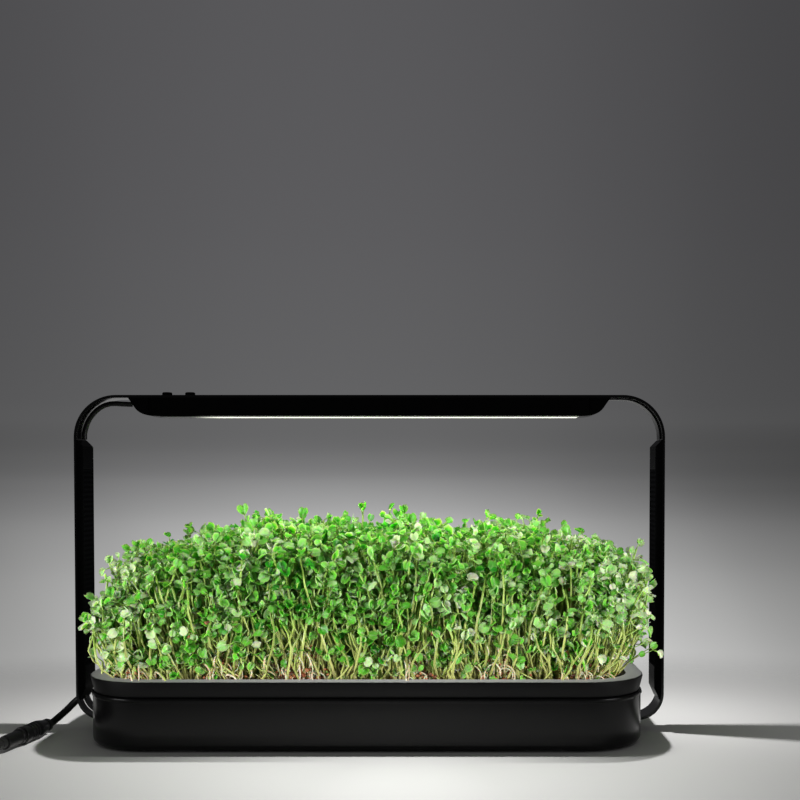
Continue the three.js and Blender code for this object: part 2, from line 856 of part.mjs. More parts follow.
function makeTopBar() {
  const ends = topBarEnds();
  const channel = toSolid(
    alongBar(channelOutline(topBarWall, stripUnderside, topBarLow), -topChannelHalf, topChannelHalf),
  );
  part("top_housing", withButtonHoles(channel.intersect(ends)), barPlastic);

  const inside = barDepth / 2 - topBarWall - fit;
  const capEnd = topChannelHalf + fit;
  const block = toSolid(alongBar(polygon(barOutline(stripUnderside, topBarLow)), -topBarHalf, -capEnd));
  const tongue = box(
    [-capEnd - overrun, -inside, topBarLow],
    [-topLensHalf - fit, inside, topBarLow + topLensFlange],
  );
  const capSolid = block.add(toSolid(tongue)).intersect(ends);
  for (const [name, side] of [["top_end_cap_left", -1], ["top_end_cap_right", 1]]) {
    part(name, withScrewHoles(toSolid(sided(toGeometry(capSolid), side))), barPlastic);
  }

  const lensTop = topBarLow + topLensFlange;
  const lensLow = topBarLow - topLensDrop;
  const lens = polygon([
    [-topLensHalf, lensTop],
    [-topLensHalf, topBarLow],
    [-topLensHalf + topLensSlant, lensLow],
    [topLensHalf - topLensSlant, lensLow],
    [topLensHalf, topBarLow],
    [topLensHalf, lensTop],
  ]);
  part("top_diffuser", toSolid(acrossDepth(lens, 2 * inside)), opal);

  const boardTop = stripUnderside - topBarWall - fit;
  const boardEnd = topLensHalf - fit;
  let board = toSolid(box([topBoardStart, -inside, boardTop - boardThickness], [boardEnd, inside, boardTop]));
  const chipPitch = (boardEnd - topBoardStart) / topChipCount;
  for (let chip = 0; chip < topChipCount; chip += 1) {
    const x = topBoardStart + (chip + 1 / 2) * chipPitch;
    board = board.add(
      toSolid(
        box(
          [x - chipLength / 2, -chipWidth / 2, boardTop - boardThickness - chipHeight],
          [x + chipLength / 2, chipWidth / 2, boardTop - boardThickness / 2],
        ),
      ),
    );
  }
  part("top_led_board", board, boardGreen);
}

function makeSideBars() {
  const inside = barDepth / 2 - sideBarWall - fit;
  const back = -innerX;
  const face = -sideFaceX;
  const turnPlan = new THREE.Matrix4().makeBasis(alongY, alongX, alongZ.clone().negate());
  const stretch = (plan, low, high) => {
    const geometry = new THREE.ExtrudeGeometry(plan, { depth: high - low, bevelEnabled: false });
    geometry.applyMatrix4(turnPlan);
    geometry.translate(0, 0, high);
    return geometry;
  };
  const channel = stretch(channelOutline(sideBarWall, back, face), sideChannelLow, sideChannelHigh);
  const outside = toSolid(stretch(polygon(barOutline(back, face)), stripGround, frameTop));

  // The lower cap follows the strip's bend with a clearance
  const insideStrip = toSolid(acrossDepth(stripOutline(stripThickness + fit), barDepth + overrun));
  const upperWindow = toSolid(
    box([back, -barDepth, stripGround + lowerBend], [-back, barDepth, frameTop - upperBend]),
  );
  const room = insideStrip.add(upperWindow);
  const tongueBack = back + sideBarWall + fit;
  const lowEnd = sideChannelLow - fit;
  const lowCap = polygon([
    [back, sideBarLow],
    [face, sideBarLow + sideLowSlant],
    [face, lowEnd],
    [back, lowEnd],
  ]);
  const lowTongue = box([tongueBack, -inside, lowEnd - overrun], [face, inside, sideLensLow - fit]);
  const leadSeat = leadTube(leadPocketRoute(), leadDiameter / 2 + fit, leadSideCount);
  const lowSolid = (side) => {
    const block = toSolid(acrossDepth(lowCap, barDepth)).intersect(outside);
    const whole = block.add(toSolid(lowTongue)).intersect(room);
    return side < 0 ? whole.subtract(leadSeat) : whole;
  };
  const highEnd = sideChannelHigh + fit;
  const highCap = polygon([
    [back, highEnd],
    [face, highEnd],
    [face, sideBarHigh - sideHighSlant],
    [back, sideBarHigh],
  ]);
  const highTongue = box([tongueBack, -inside, sideLensHigh + fit], [face, inside, highEnd + overrun]);
  const highSolid = toSolid(acrossDepth(highCap, barDepth)).intersect(outside).add(toSolid(highTongue));

  const lensFace = face - sideLensRecess;
  const lens = box([lensFace - sideLensThickness, -inside, sideLensLow], [lensFace, inside, sideLensHigh]);
  const boardBack = back + sideBarWall + fit;
  const boardFace = boardBack + sideBoardThickness;
  let board = toSolid(box([boardBack, -inside, sideLensLow], [boardFace, inside, sideLensHigh]));
  const chipPitch = (sideLensHigh - sideLensLow) / sideChipCount;
  for (let chip = 0; chip < sideChipCount; chip += 1) {
    const z = sideLensLow + (chip + 1 / 2) * chipPitch;
    board = board.add(
      toSolid(
        box(
          [boardFace - sideBoardThickness / 2, -chipWidth / 2, z - chipLength / 2],
          [boardFace + sideChipHeight, chipWidth / 2, z + chipLength / 2],
        ),
      ),
    );
  }

  for (const [sideName, side] of [["left", -1], ["right", 1]]) {
    const here = (solid) => toSolid(sided(toGeometry(solid), side));
    part(`${sideName}_housing`, toSolid(sided(channel, side)), barPlastic);
    part(`${sideName}_end_cap_low`, withScrewHoles(here(lowSolid(side))), barPlastic);
    part(`${sideName}_end_cap_high`, withScrewHoles(here(highSolid)), barPlastic);
    part(`${sideName}_diffuser`, toSolid(sided(lens, side)), opal);
    part(`${sideName}_led_board`, here(board), boardGreen);
  }
}

function makeControls() {
  const roof = stripUnderside - topBarWall;
  const flangeTop = roof - fit;
  const flangeLow = flangeTop - buttonFlangeHeight;
  const crown = frameTop + buttonRise;
  const switchTop = flangeLow - buttonTravel - fit;
  const boardTop = switchTop - switchHeight;
  const inside = barDepth / 2 - topBarWall - fit;
  const half = switchSize / 2;
  for (const [name, x] of [["power", powerButtonX], ["timer", timerButtonX]]) {
    const button = turned([
      [0, flangeLow],
      [buttonRadius + buttonFlange, flangeLow],
      [buttonRadius + buttonFlange, flangeTop],
      [buttonRadius, flangeTop],
      [buttonRadius, crown - buttonEdge],
      [buttonRadius - buttonEdge, crown],
      [0, crown],
    ]);
    button.translate(x, 0, 0);
    part(`${name}_button`, toSolid(button), barPlastic);
    const plungerTop = flangeLow - fit;
    const plunger = rod(x, 0, plungerRadius, plungerTop - plungerLength, plungerTop, smallFacets);
    part(`${name}_plunger`, toSolid(plunger), plungerGrey);
    const body = toSolid(box([x - half, -half, boardTop], [x + half, half, switchTop]));
    const well = rod(x, 0, plungerRadius + fit, switchTop - plungerHoleDepth, switchTop + overrun, smallFacets);
    part(`${name}_switch`, body.subtract(toSolid(well)), switchBlack);
  }
  const board = box(
    [controlBoardLow, -inside, boardTop - boardThickness],
    [controlBoardHigh, inside, boardTop],
  );
  part("control_board", toSolid(board), boardGreen);
}

// A tube along a smooth curve through the points of a route
function leadTube(route, radius, sides, stepLength = 2.2 * leadDiameter) {
  const curve = new THREE.CatmullRomCurve3(route, false, "centripetal");
  const section = new THREE.Shape();
  for (let side = 0; side < sides; side += 1) {
    const angle = (side * 2 * Math.PI) / sides;
    const at = [radius * Math.cos(angle), radius * Math.sin(angle)];
    if (side === 0) section.moveTo(...at);
    else section.lineTo(...at);
  }
  const steps = Math.max(Math.round(curve.getLength() / stepLength), 2);
  return toSolid(new THREE.ExtrudeGeometry(section, { steps, extrudePath: curve, bevelEnabled: false }));
}

// A place from its distance to the strip's left side, its depth and its height
function besideStrip([across, deep, up]) {
  return new THREE.Vector3(across - halfWidth, deep, up);
}

// The lead leaves the lower end of the left bar through the strip's slot
const leadRoute = [
  [3, 0, 24.6],
  [-0.5, 0, 22.2],
  [-4.4, -0.2, 19],
  [-9, -2, 14.2],
  [-12.9, -5.2, 10.3],
  [-15.8, -9, 7.6],
  [-17.2, -13, 6.3],
  [-17.8, -16.9, 6.2],
].map(besideStrip);

function leadPocketRoute() {
  const heading = leadRoute[0].clone().sub(leadRoute[1]).normalize();
  return [
    leadRoute[0].clone().addScaledVector(heading, fit),
    leadRoute[0].clone().addScaledVector(heading, -leadPocket),
    leadRoute[0].clone().addScaledVector(heading, -leadPocket - leadDiameter),
  ];
}

// In-line socket and plug: turned pieces that lie on the floor, one behind the other
const socketRear = besideStrip([-socketRearOut, -socketRearAhead, socketRadius + fit / 2]);
const socketFront = besideStrip([-socketFrontOut, -socketFrontAhead, socketRadius + fit / 2]);
const socketHeading = socketFront.clone().sub(socketRear).normalize();

function alongLead(profile, start) {
  const geometry = turned(profile);
  geometry.applyQuaternion(new THREE.Quaternion().setFromUnitVectors(alongZ, socketHeading));
  geometry.translate(start.x, start.y, start.z);
  return toSolid(geometry);
}

function makeConnector() {
  part("dc_lead", leadTube(leadRoute, leadDiameter / 2, leadSideCount, leadDiameter), cableBlack);

  const grips = [];
  for (let grip = 0; grip < socketGripCount; grip += 1) {
    const middle = socketLength - socketCollar - (socketGripCount - grip) * gripSpacing;
    grips.push([socketRadius, middle - gripSpacing / 2 + socketGrip]);
    grips.push([socketRadius - socketGrip, middle - socketGrip / 2]);
    grips.push([socketRadius - socketGrip, middle + socketGrip / 2]);
  }
  const socket = [
    [0, 0],
    [socketRearRadius - socketGrip, 0],
    [socketRearRadius, socketGrip],
    [socketRearRadius, socketCollar],
    [socketNeck, socketCollar + socketGrip],
    [socketRearRadius, socketCollar + 3 * socketGrip],
    [socketRadius, socketTaper],
    ...grips,
    [socketRadius, socketLength - socketCollar],
    [socketRadius, socketLength - socketGrip],
    [socketRadius - socketGrip, socketLength],
    [0, socketLength],
  ];
  part("dc_socket", alongLead(socket, socketRear), cableBlack);

  const plugStart = socketRear.clone().addScaledVector(socketHeading, socketLength + fit);
  const plug = [
    [0, 0],
    [plugShoulder - socketGrip, 0],
    [plugShoulder, socketGrip],
    [plugShoulder, plugShoulderLength],
    [plugRadius, plugShoulderLength + socketGrip],
    [plugRadius, plugLength - socketGrip],
    [plugRadius - socketGrip, plugLength],
    [0, plugLength],
  ];
  part("dc_plug", alongLead(plug, plugStart), cableBlack);

  const reliefStart = plugStart.clone().addScaledVector(socketHeading, plugLength + fit);
  part("plug_relief", alongLead(reliefProfile(reliefLength), reliefStart), rubber);
}

// A tapered strain relief with grooves round it
function reliefProfile(length) {
  const profile = [[0, 0]];
  const pitch = length / reliefRibCount;
  const radiusAt = (height) => reliefRadius + ((reliefTip - reliefRadius) * height) / length;
  for (let rib = 0; rib < reliefRibCount; rib += 1) {
    const start = rib * pitch;
    profile.push([radiusAt(start), start], [radiusAt(start + pitch - reliefGroove), start + pitch - reliefGroove]);
    if (rib < reliefRibCount - 1) {
      profile.push([radiusAt(start + pitch) - reliefGroove, start + pitch - reliefGroove / 2]);
    }
  }
  profile.push([reliefTip, length], [0, length]);
  return profile;
}

// The coil's wire starts at the front heading left, winds inwards, climbs and winds out again
const coilLowZ = tieThickness + fit + leadDiameter / 2;
const coilOuter = coilMiddleRadius + (coilTurnsIn / 2) * coilPitch;
const coilInner = coilOuter - coilTurnsIn * coilPitch;

function coilPoint(turns) {
  const climb = THREE.MathUtils.clamp((turns - coilTurnsIn) * 2, 0, 1);
  const outward = Math.max(turns - coilTurnsIn - 1 / 2, 0);
  const inward = Math.min(turns, coilTurnsIn);
  const bow = climbBowShare * coilPitch * Math.sin(climb * Math.PI);
  const radius = coilOuter - inward * coilPitch + outward * coilPitch - bow;
  const angle = turns * 2 * Math.PI;
  return new THREE.Vector3(
    coilCentre.x - radius * Math.sin(angle),
    coilCentre.y - radius * Math.cos(angle),
    coilLowZ + climb * coilPitch,
  );
}

function coilWire() {
  const total = coilTurnsIn + 1 / 2 + coilTurnsOut;
  const count = Math.round(total * coilStepCount);
  const loops = Array.from({ length: count + 1 }, (_, step) => coilPoint((step / count) * total));
  const start = loops[0].clone().add(new THREE.Vector3(leadDiameter, 0, 0));
  const end = loops[count].clone().add(new THREE.Vector3(0, leadDiameter, 0));
  return [start, ...loops, end];
}

// Least gap between stretches of the wire that lie over three diameters apart along it
function leastGap(points) {
  const lengths = [0];
  for (let index = 1; index < points.length; index += 1) {
    lengths.push(lengths[index - 1] + points[index].distanceTo(points[index - 1]));
  }
  let least = Infinity;
  points.forEach((point, index) => {
    for (let other = index + 1; other < points.length; other += 1) {
      if (lengths[other] - lengths[index] > 3 * leadDiameter) {
        least = Math.min(least, point.distanceTo(points[other]));
      }
    }
  });
  return { gap: least - leadDiameter, length: lengths[lengths.length - 1] };
}

function makeCoil() {
  const points = coilWire();
  const rings = points.map((centre, index) => {
    const before = points[Math.max(index - 1, 0)];
    const after = points[Math.min(index + 1, points.length - 1)];
    const heading = after.clone().sub(before).normalize();
    const sideways = new THREE.Vector3().crossVectors(alongZ, heading).normalize();
    const up = new THREE.Vector3().crossVectors(heading, sideways);
    return Array.from({ length: coilSideCount }, (_, side) => {
      const angle = (side * 2 * Math.PI) / coilSideCount;
      return centre.clone().addScaledVector(sideways, (leadDiameter / 2) * Math.cos(angle))
        .addScaledVector(up, (leadDiameter / 2) * Math.sin(angle));
    });
  });
  part("adapter_coil", toSolid(ringed(rings)), cableBlack);
  const { gap, length } = leastGap(points);
  console.log(`adapter_coil: least gap to itself ${gap.toFixed(2)} mm, ${length.toFixed(0)} mm of lead`);

  // The tie goes round all the turns at the back of the coil
  const low = coilCentre.y + coilInner - leadDiameter / 2 - tieSlack;
  const high = coilCentre.y + coilOuter + leadDiameter / 2 + fit;
  const top = coilLowZ + coilPitch + leadDiameter / 2 + fit;
  const middle = new THREE.Vector2((low + high) / 2, (tieThickness + top) / 2);
  const halfY = (high - low) / 2;
  const halfZ = (top - tieThickness) / 2;
  const band = roundedRectangle(halfY + tieThickness, halfZ + tieThickness, tieRound, middle);
  band.holes.push(roundedRectangle(halfY, halfZ, tieRound - tieThickness, middle));
  const tie = alongBar(band, coilCentre.x - tieWidth / 2, coilCentre.x + tieWidth / 2);
  part("coil_tie", toSolid(tie), rubber);
}

function makeAdapterLead() {
  const reliefEnd = socketRear.clone().addScaledVector(
    socketHeading, socketLength + plugLength + reliefLength + 3 * fit,
  );
  const coilStart = coilWire()[0];
  const bend = [
    [-30.25, -90.8, 6.2],
    [-31.8, -97, 5],
    [-35.2, -102.4, 4],
    [-40.5, -106.6, 3.4],
    [-47.5, -109.2, 3.2],
    [-56, -110, 3.4],
  ].map(besideStrip);
  const route = [
    reliefEnd,
    ...bend,
    new THREE.Vector3(coilStart.x + leadDiameter, coilStart.y, coilLowZ),
    new THREE.Vector3(coilStart.x + fit, coilStart.y, coilLowZ),
  ];
  part("adapter_lead", leadTube(route, leadDiameter / 2, leadSideCount), cableBlack);

  const coilEnd = coilWire().pop();
  const reliefTipY = adapterLow - adapterReliefLength - fit;
  const tail = [
    [coilEnd.x, coilEnd.y + fit, coilEnd.z],
    [coilEnd.x, coilEnd.y + leadDiameter, coilEnd.z],
    [coilEnd.x, -56.5, 8],
    [adapterCentreX, -50, 6.4],
    [adapterCentreX, -43, 4],
    [adapterCentreX, -36, 4.4],
    [adapterCentreX, reliefTipY - fit - leadDiameter, adapterReliefZ],
    [adapterCentreX, reliefTipY - fit, adapterReliefZ],
  ].map((place) => new THREE.Vector3(...place));
  part("adapter_tail", leadTube(tail, leadDiameter / 2, leadSideCount), cableBlack);
}

function makeAdapter() {
  const halfAcross = adapterWidth / 2;
  const middle = adapterHeight / 2;
  const section = (inset) => roundedRectangle(
    halfAcross - inset, middle - inset, adapterCorner - inset, new THREE.Vector2(adapterCentreX, middle),
  );
  const stretch = (shape, from, to) => {
    const geometry = acrossDepth(shape, to - from, roundFacets);
    geometry.translate(0, (from + to) / 2, 0);
    return toSolid(geometry);
  };
  const bodyEnd = adapterLow + adapterLength;
  part("adapter_body", stretch(section(0), adapterLow, bodyEnd), adapterBlack);

  const coverLow = bodyEnd + fit;
  const coverHigh = coverLow + adapterCoverLength;
  const pins = [-1, 1].map((side) => adapterCentreX + (side * pinSpacing) / 2);
  const pinAt = (x, radius, from, to) => {
    const geometry = new THREE.CylinderGeometry(radius, radius, to - from, smallFacets);
    geometry.translate(x, (from + to) / 2, middle);
    return toSolid(geometry);
  };
  const cover = pins.reduce(
    (cut, x) => cut.subtract(pinAt(x, pinRadius + fit, coverHigh - pinSeat, coverHigh + overrun)),
    stretch(section(adapterCoverInset), coverLow, coverHigh),
  );
  part("adapter_cover", cover, adapterBlack);
  const pinStart = coverHigh - pinSeat + fit;
  pins.forEach((x, index) => {
    part(`adapter_pin_${index + 1}`, pinAt(x, pinRadius, pinStart, coverHigh + pinLength), steel);
  });

  const relief = turned(reliefProfile(adapterReliefLength));
  relief.rotateX(Math.PI / 2);
  relief.translate(adapterCentreX, adapterLow - fit, adapterReliefZ);
  part("adapter_relief", toSolid(relief), rubber);
}

// The cable that feeds the top bar runs along the inside of the left bend
function makeLinks() {
  const straight = halfWidth - upperBend;
  const centre = new THREE.Vector2(-straight, frameTop - upperBend);
  const reach = upperBend - stripThickness - fit - linkDiameter / 2;
  const arc = linkTurns.map((turnShare) => {
    const angle = turnShare * Math.PI;
    return [centre.x + reach * Math.cos(angle), 0, centre.y + reach * Math.sin(angle)];
  });
  const wallX = -innerX + fit + linkDiameter / 2;
  const route = [
    [wallX, 0, sideBarHigh + fit],
    [wallX, 0, sideBarHigh + linkDiameter],
    ...arc,
    [-straight - (3 / 2) * linkDiameter, 0, stripUnderside - linkDiameter + fit],
    [-straight + linkDiameter / 2, 0, stripUnderside - linkDiameter],
    [-topBarHalf - fit, 0, stripUnderside - linkDiameter - fit],
  ].map((place) => new THREE.Vector3(...place));
  part("link_cable_left", leadTube(route, linkDiameter / 2, linkSideCount, linkDiameter), cableBlack);

  // The flat ribbon lies against the inside of the right bend
  const inset = stripThickness + fit;
  const outer = upperBend - inset;
  const quarter = Math.PI / 2;
  const ribbon = new THREE.Shape();
  const far = innerX - fit;
  const roof = stripUnderside - fit;
  ribbon.moveTo(far - ribbonThickness, sideBarHigh + fit);
  ribbon.lineTo(far, sideBarHigh + fit);
  ribbon.absarc(-centre.x, centre.y, outer, 0, quarter);
  ribbon.lineTo(topBarHalf + fit, roof);
  ribbon.lineTo(topBarHalf + fit, roof - ribbonThickness);
  ribbon.absarc(-centre.x, centre.y, outer - ribbonThickness, quarter, 0, true);
  part("link_ribbon_right", toSolid(acrossDepth(ribbon, ribbonWidth)), cableBlack);
}

makeStrip();
makeFeet();
makeScrews();
makeBowl();
makeBowlPads();
makeTray();
makeGrowPad();
makeCrop();
makeTopBar();
makeSideBars();
makeControls();
makeLinks();
makeConnector();
makeCoil();
makeAdapterLead();
makeAdapter();

export default kit;
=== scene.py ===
"""Hydroponic starter kit: finishes, cords and the living crop on the solids of its frame."""

import functools
import json
import math
import random

import bmesh
import bpy
import numpy as np
from mathutils import Matrix, Quaternion, Vector, noise

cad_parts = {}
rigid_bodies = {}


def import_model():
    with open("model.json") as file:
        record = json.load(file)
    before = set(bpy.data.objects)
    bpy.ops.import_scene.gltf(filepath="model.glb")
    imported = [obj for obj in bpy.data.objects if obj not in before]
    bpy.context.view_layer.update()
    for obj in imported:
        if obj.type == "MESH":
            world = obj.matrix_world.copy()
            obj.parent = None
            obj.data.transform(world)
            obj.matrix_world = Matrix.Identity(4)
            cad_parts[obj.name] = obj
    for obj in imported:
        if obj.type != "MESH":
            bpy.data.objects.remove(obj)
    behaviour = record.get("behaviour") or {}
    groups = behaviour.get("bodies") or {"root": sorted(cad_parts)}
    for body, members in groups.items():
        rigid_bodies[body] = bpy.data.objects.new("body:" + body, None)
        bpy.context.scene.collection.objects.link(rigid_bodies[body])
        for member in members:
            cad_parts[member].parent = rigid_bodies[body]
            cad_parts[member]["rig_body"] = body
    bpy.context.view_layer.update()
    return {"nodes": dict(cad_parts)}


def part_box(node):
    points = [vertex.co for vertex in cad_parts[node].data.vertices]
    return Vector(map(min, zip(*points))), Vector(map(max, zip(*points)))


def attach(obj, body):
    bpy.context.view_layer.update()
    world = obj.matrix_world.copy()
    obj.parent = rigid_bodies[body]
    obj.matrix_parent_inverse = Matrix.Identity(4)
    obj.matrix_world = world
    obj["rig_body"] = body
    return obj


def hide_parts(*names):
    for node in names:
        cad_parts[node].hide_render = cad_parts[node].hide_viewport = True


bl_info = {
    "name": "Hydroponic starter kit",
    "version": (1, 0, 0),
    "blender": (4, 5, 0),
    "location": "View3D > Sidebar > Grow Kit",
    "description": "Dresses the solids of a growing kit with finishes, cords and its crop",
    "category": "Object",
}

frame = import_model()

MM = 0.001
MERGE_DISTANCE = 0.001 * MM
TAU = 2 * math.pi
SIDES = ("left", "right")
SMOOTH_ANGLE = math.radians(38)
FLAT_ANGLE = math.radians(0.6)
SMALL_EDGE = 0.1 * MM
PAD_EDGE = 0.15 * MM
LENS_EDGE = 0.2 * MM

# Camera of the photograph, solved from the strip's outline and its shadow
CAMERA_PLACE = Vector((57.4, -796.1, 180.0)) * MM
CAMERA_PITCH = math.radians(1.547)
CAMERA_LENS = 49.72
CAMERA_SHIFT = (-0.0628, 0.1367)


# Settings


class GrowKitCrop(bpy.types.PropertyGroup):
    """Sizes and colours of the sprouts"""

    count: bpy.props.IntProperty(
        name="Sprouts", description="How many sprouts stand all over the mat", default=1600, min=100
    )
    rim_count: bpy.props.IntProperty(
        name="Rim sprouts", description="How many more lean out over the rims", default=3500, min=0
    )
    canopy: bpy.props.FloatProperty(
        name="Canopy", description="Height of the leaves over the mat", default=104 * MM, unit="LENGTH"
    )
    stem_diameter: bpy.props.FloatProperty(
        name="Stem", description="Diameter of a stem at its foot", default=2.1 * MM, unit="LENGTH"
    )
    leaf_length: bpy.props.FloatProperty(
        name="Leaf length", description="Length of a seed leaf", default=6.6 * MM, unit="LENGTH"
    )
    leaf_width: bpy.props.FloatProperty(
        name="Leaf width", description="Width of a seed leaf", default=6.8 * MM, unit="LENGTH"
    )
    hulls: bpy.props.IntProperty(
        name="Seed hulls", description="How many shed hulls lie among the stems", default=760, min=0
    )
    dark_leaf: bpy.props.FloatVectorProperty(
        name="Dark leaf", description="Colour of the oldest leaves", subtype="COLOR",
        default=(0.011, 0.14, 0.008),
    )
    leaf: bpy.props.FloatVectorProperty(
        name="Leaf", description="Colour of most leaves", subtype="COLOR", default=(0.11, 0.38, 0.034)
    )
    pale_leaf: bpy.props.FloatVectorProperty(
        name="Pale leaf", description="Colour of the youngest leaves", subtype="COLOR",
        default=(0.52, 0.71, 0.36),
    )
    stem: bpy.props.FloatVectorProperty(
        name="Stem", description="Colour of a stem near its leaves", subtype="COLOR",
        default=(0.31, 0.39, 0.085),
    )
    hull: bpy.props.FloatVectorProperty(
        name="Hull", description="Colour of the seed hulls", subtype="COLOR", default=(0.24, 0.055, 0.014)
    )


class GrowKitFinish(bpy.types.PropertyGroup):
    """Colours of the kit's hard pieces"""

    strip: bpy.props.FloatVectorProperty(
        name="Strip", description="Powder coat of the bent strip", subtype="COLOR",
        default=(0.003, 0.003, 0.0032),
    )
    bars: bpy.props.FloatVectorProperty(
        name="Bars", description="Plastic of the light bars", subtype="COLOR",
        default=(0.0018, 0.0018, 0.0019),
    )
    bowl: bpy.props.FloatVectorProperty(
        name="Bowl", description="Glaze of the bowl", subtype="COLOR", default=(0.004, 0.004, 0.0041)
    )
    tray: bpy.props.FloatVectorProperty(
        name="Tray", description="Plastic of the seed tray", subtype="COLOR",
        default=(0.0035, 0.0035, 0.0036),
    )
    # Painted highlight: a paler colour for the top of the tray's flange, standing for the light that
    # catches it, not for wear
    tray_rim_highlight: bpy.props.FloatVectorProperty(
        name="Tray rim", description="Worn top of the tray's flange", subtype="COLOR",
        default=(0.155, 0.155, 0.156),
    )
    lens_light: bpy.props.FloatVectorProperty(
        name="Lens", description="Light of the top bar's lens", subtype="COLOR",
        default=(1.0, 0.95, 0.85),
    )
    lens_strength: bpy.props.FloatProperty(
        name="Lens strength", description="Brightness of the lit lens", default=1.65, min=0
    )
    edge: bpy.props.FloatProperty(
        name="Edge", description="Radius of the rounded edges", default=0.35 * MM, unit="LENGTH"
    )


class GrowKitStage(bpy.types.PropertyGroup):
    """Floor, backdrop and lamps"""

    floor: bpy.props.FloatVectorProperty(
        name="Floor", description="Colour of the floor", subtype="COLOR", default=(0.85, 0.84, 0.825)
    )
    floor_reach: bpy.props.FloatProperty(
        name="Floor reach", description="Where the floor starts to fade into the backdrop",
        default=0.11, unit="LENGTH",
    )
    floor_fade: bpy.props.FloatProperty(
        name="Floor fade", description="Over what length the floor fades", default=0.3, unit="LENGTH"
    )
    ambient: bpy.props.FloatProperty(
        name="Ambient", description="Brightness of the world's even light", default=0.1, min=0
    )
    front_lamps: bpy.props.FloatProperty(
        name="Front lamps", description="Power of each soft lamp in front, in watts", default=6.2, min=0
    )
    crop_lamps: bpy.props.FloatProperty(
        name="Crop lamps", description="More power of the same lamps for the crop alone, in watts",
        default=35.0, min=0,
    )
    grow_light: bpy.props.FloatProperty(
        name="Grow light", description="Power of the top bar's light on all but the crop, in watts",
        default=1.1, min=0,
    )
    side_light: bpy.props.FloatProperty(
        name="Side light", description="Power of its light on either side of the floor, in watts",
        default=0.73, min=0,
    )
    pool_light: bpy.props.FloatProperty(
        name="Pool light", description="Power of its light on the floor in front, in watts",
        default=0.33, min=0,
    )
    crop_light: bpy.props.FloatProperty(
        name="Crop light", description="Power of the top bar's light on the crop, in watts",
        default=0.29, min=0,
    )


GROUPS = {"crop": GrowKitCrop, "finish": GrowKitFinish, "stage": GrowKitStage}


def settings(group):
    """The scene's values of one group of settings, by its name"""
    return getattr(bpy.context.scene, f"grow_kit_{group}")


# Mesh helpers


def link(name, data):
    piece = bpy.data.objects.new(name, data)
    bpy.context.scene.collection.objects.link(piece)
    return piece


def mesh_from(bm, name):
    mesh = bpy.data.meshes.new(name)
    bm.to_mesh(mesh)
    bm.free()
    return mesh


def smooth_by_angle(bm, angle):
    for face in bm.faces:
        face.smooth = True
    for edge in bm.edges:
        edge.smooth = edge.calc_face_angle(0.0) < angle


def shaped_copy(node, material, edge):
    """A merged copy of a solid with rounded edges, which stands for it"""
    solid = frame["nodes"][node]
    bm = bmesh.new()
    bm.from_mesh(solid.data)
    bmesh.ops.remove_doubles(bm, verts=bm.verts, dist=MERGE_DISTANCE)
    bmesh.ops.dissolve_limit(bm, angle_limit=FLAT_ANGLE, verts=bm.verts, edges=bm.edges)
    smooth_by_angle(bm, SMOOTH_ANGLE)
    piece = link(f"{node}_finished", mesh_from(bm, node))
    piece.data.materials.clear()
    piece.data.materials.append(material)
    if edge > 0:
        rounded = piece.modifiers.new("Rounded edges", "BEVEL")
        rounded.width = edge
        rounded.segments = 2
        rounded.limit_method = "ANGLE"
        rounded.angle_limit = SMOOTH_ANGLE
        rounded.harden_normals = True
    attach(piece, solid["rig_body"])
    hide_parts(node)
    return piece


def keep_node(node, material):
    """A hidden inner solid keeps its shape and takes a finish"""
    solid = frame["nodes"][node]
    solid.data.materials.clear()
    solid.data.materials.append(material)
    return solid


def sweep(bm, points, radii, sides):
    """A closed tube through points, each with its own radius"""
    heading = (points[1] - points[0]).normalized()
    upright = Vector((0, 0, 1)).rotation_difference(heading).to_matrix().to_4x4()
    start = bmesh.ops.create_circle(
        bm, cap_ends=True, segments=sides, radius=radii[0], matrix=Matrix.Translation(points[0]) @ upright
    )
    made = list(start["verts"])
    edges = list({edge for vert in made for edge in vert.link_edges})
    for index in range(1, len(points)):
        after = points[min(index + 1, len(points) - 1)]
        turned = (after - points[index - 1]).normalized()
        turn = heading.rotation_difference(turned).to_matrix().to_4x4()
        grow = Matrix.Scale(radii[index] / radii[index - 1], 4)
        grown = bmesh.ops.extrude_edge_only(bm, edges=edges)["geom"]
        verts = [item for item in grown if isinstance(item, bmesh.types.BMVert)]
        edges = [item for item in grown if isinstance(item, bmesh.types.BMEdge)]
        move = Matrix.Translation(points[index]) @ turn @ grow @ Matrix.Translation(-points[index - 1])
        bmesh.ops.transform(bm, matrix=move, verts=verts)
        made += verts
        heading = turned
    bmesh.ops.contextual_create(bm, geom=edges)
    faces = list({face for vert in made for face in vert.link_faces})
    bmesh.ops.recalc_face_normals(bm, faces=faces)
    return made


def smooth_route(points, spans):
    """Points of a centripetal curve through a route"""
    ends = [points[0] * 2 - points[1], *points, points[-1] * 2 - points[-2]]
    route = []
    for index in range(1, len(ends) - 2):
        p0, p1, p2, p3 = ends[index - 1 : index + 3]
        t1 = math.sqrt((p1 - p0).length)
        t2 = t1 + math.sqrt((p2 - p1).length)
        t3 = t2 + math.sqrt((p3 - p2).length)
        for step in range(spans):
            t = t1 + (t2 - t1) * step / spans
            a1 = p0.lerp(p1, t / t1)
            a2 = p1.lerp(p2, (t - t1) / (t2 - t1))
            a3 = p2.lerp(p3, (t - t2) / (t3 - t2))
            b1 = a1.lerp(a2, t / t2)
            b2 = a2.lerp(a3, (t - t1) / (t3 - t1))
            route.append(b1.lerp(b2, (t - t1) / (t2 - t1)))
    route.append(points[-1].copy())
    return route


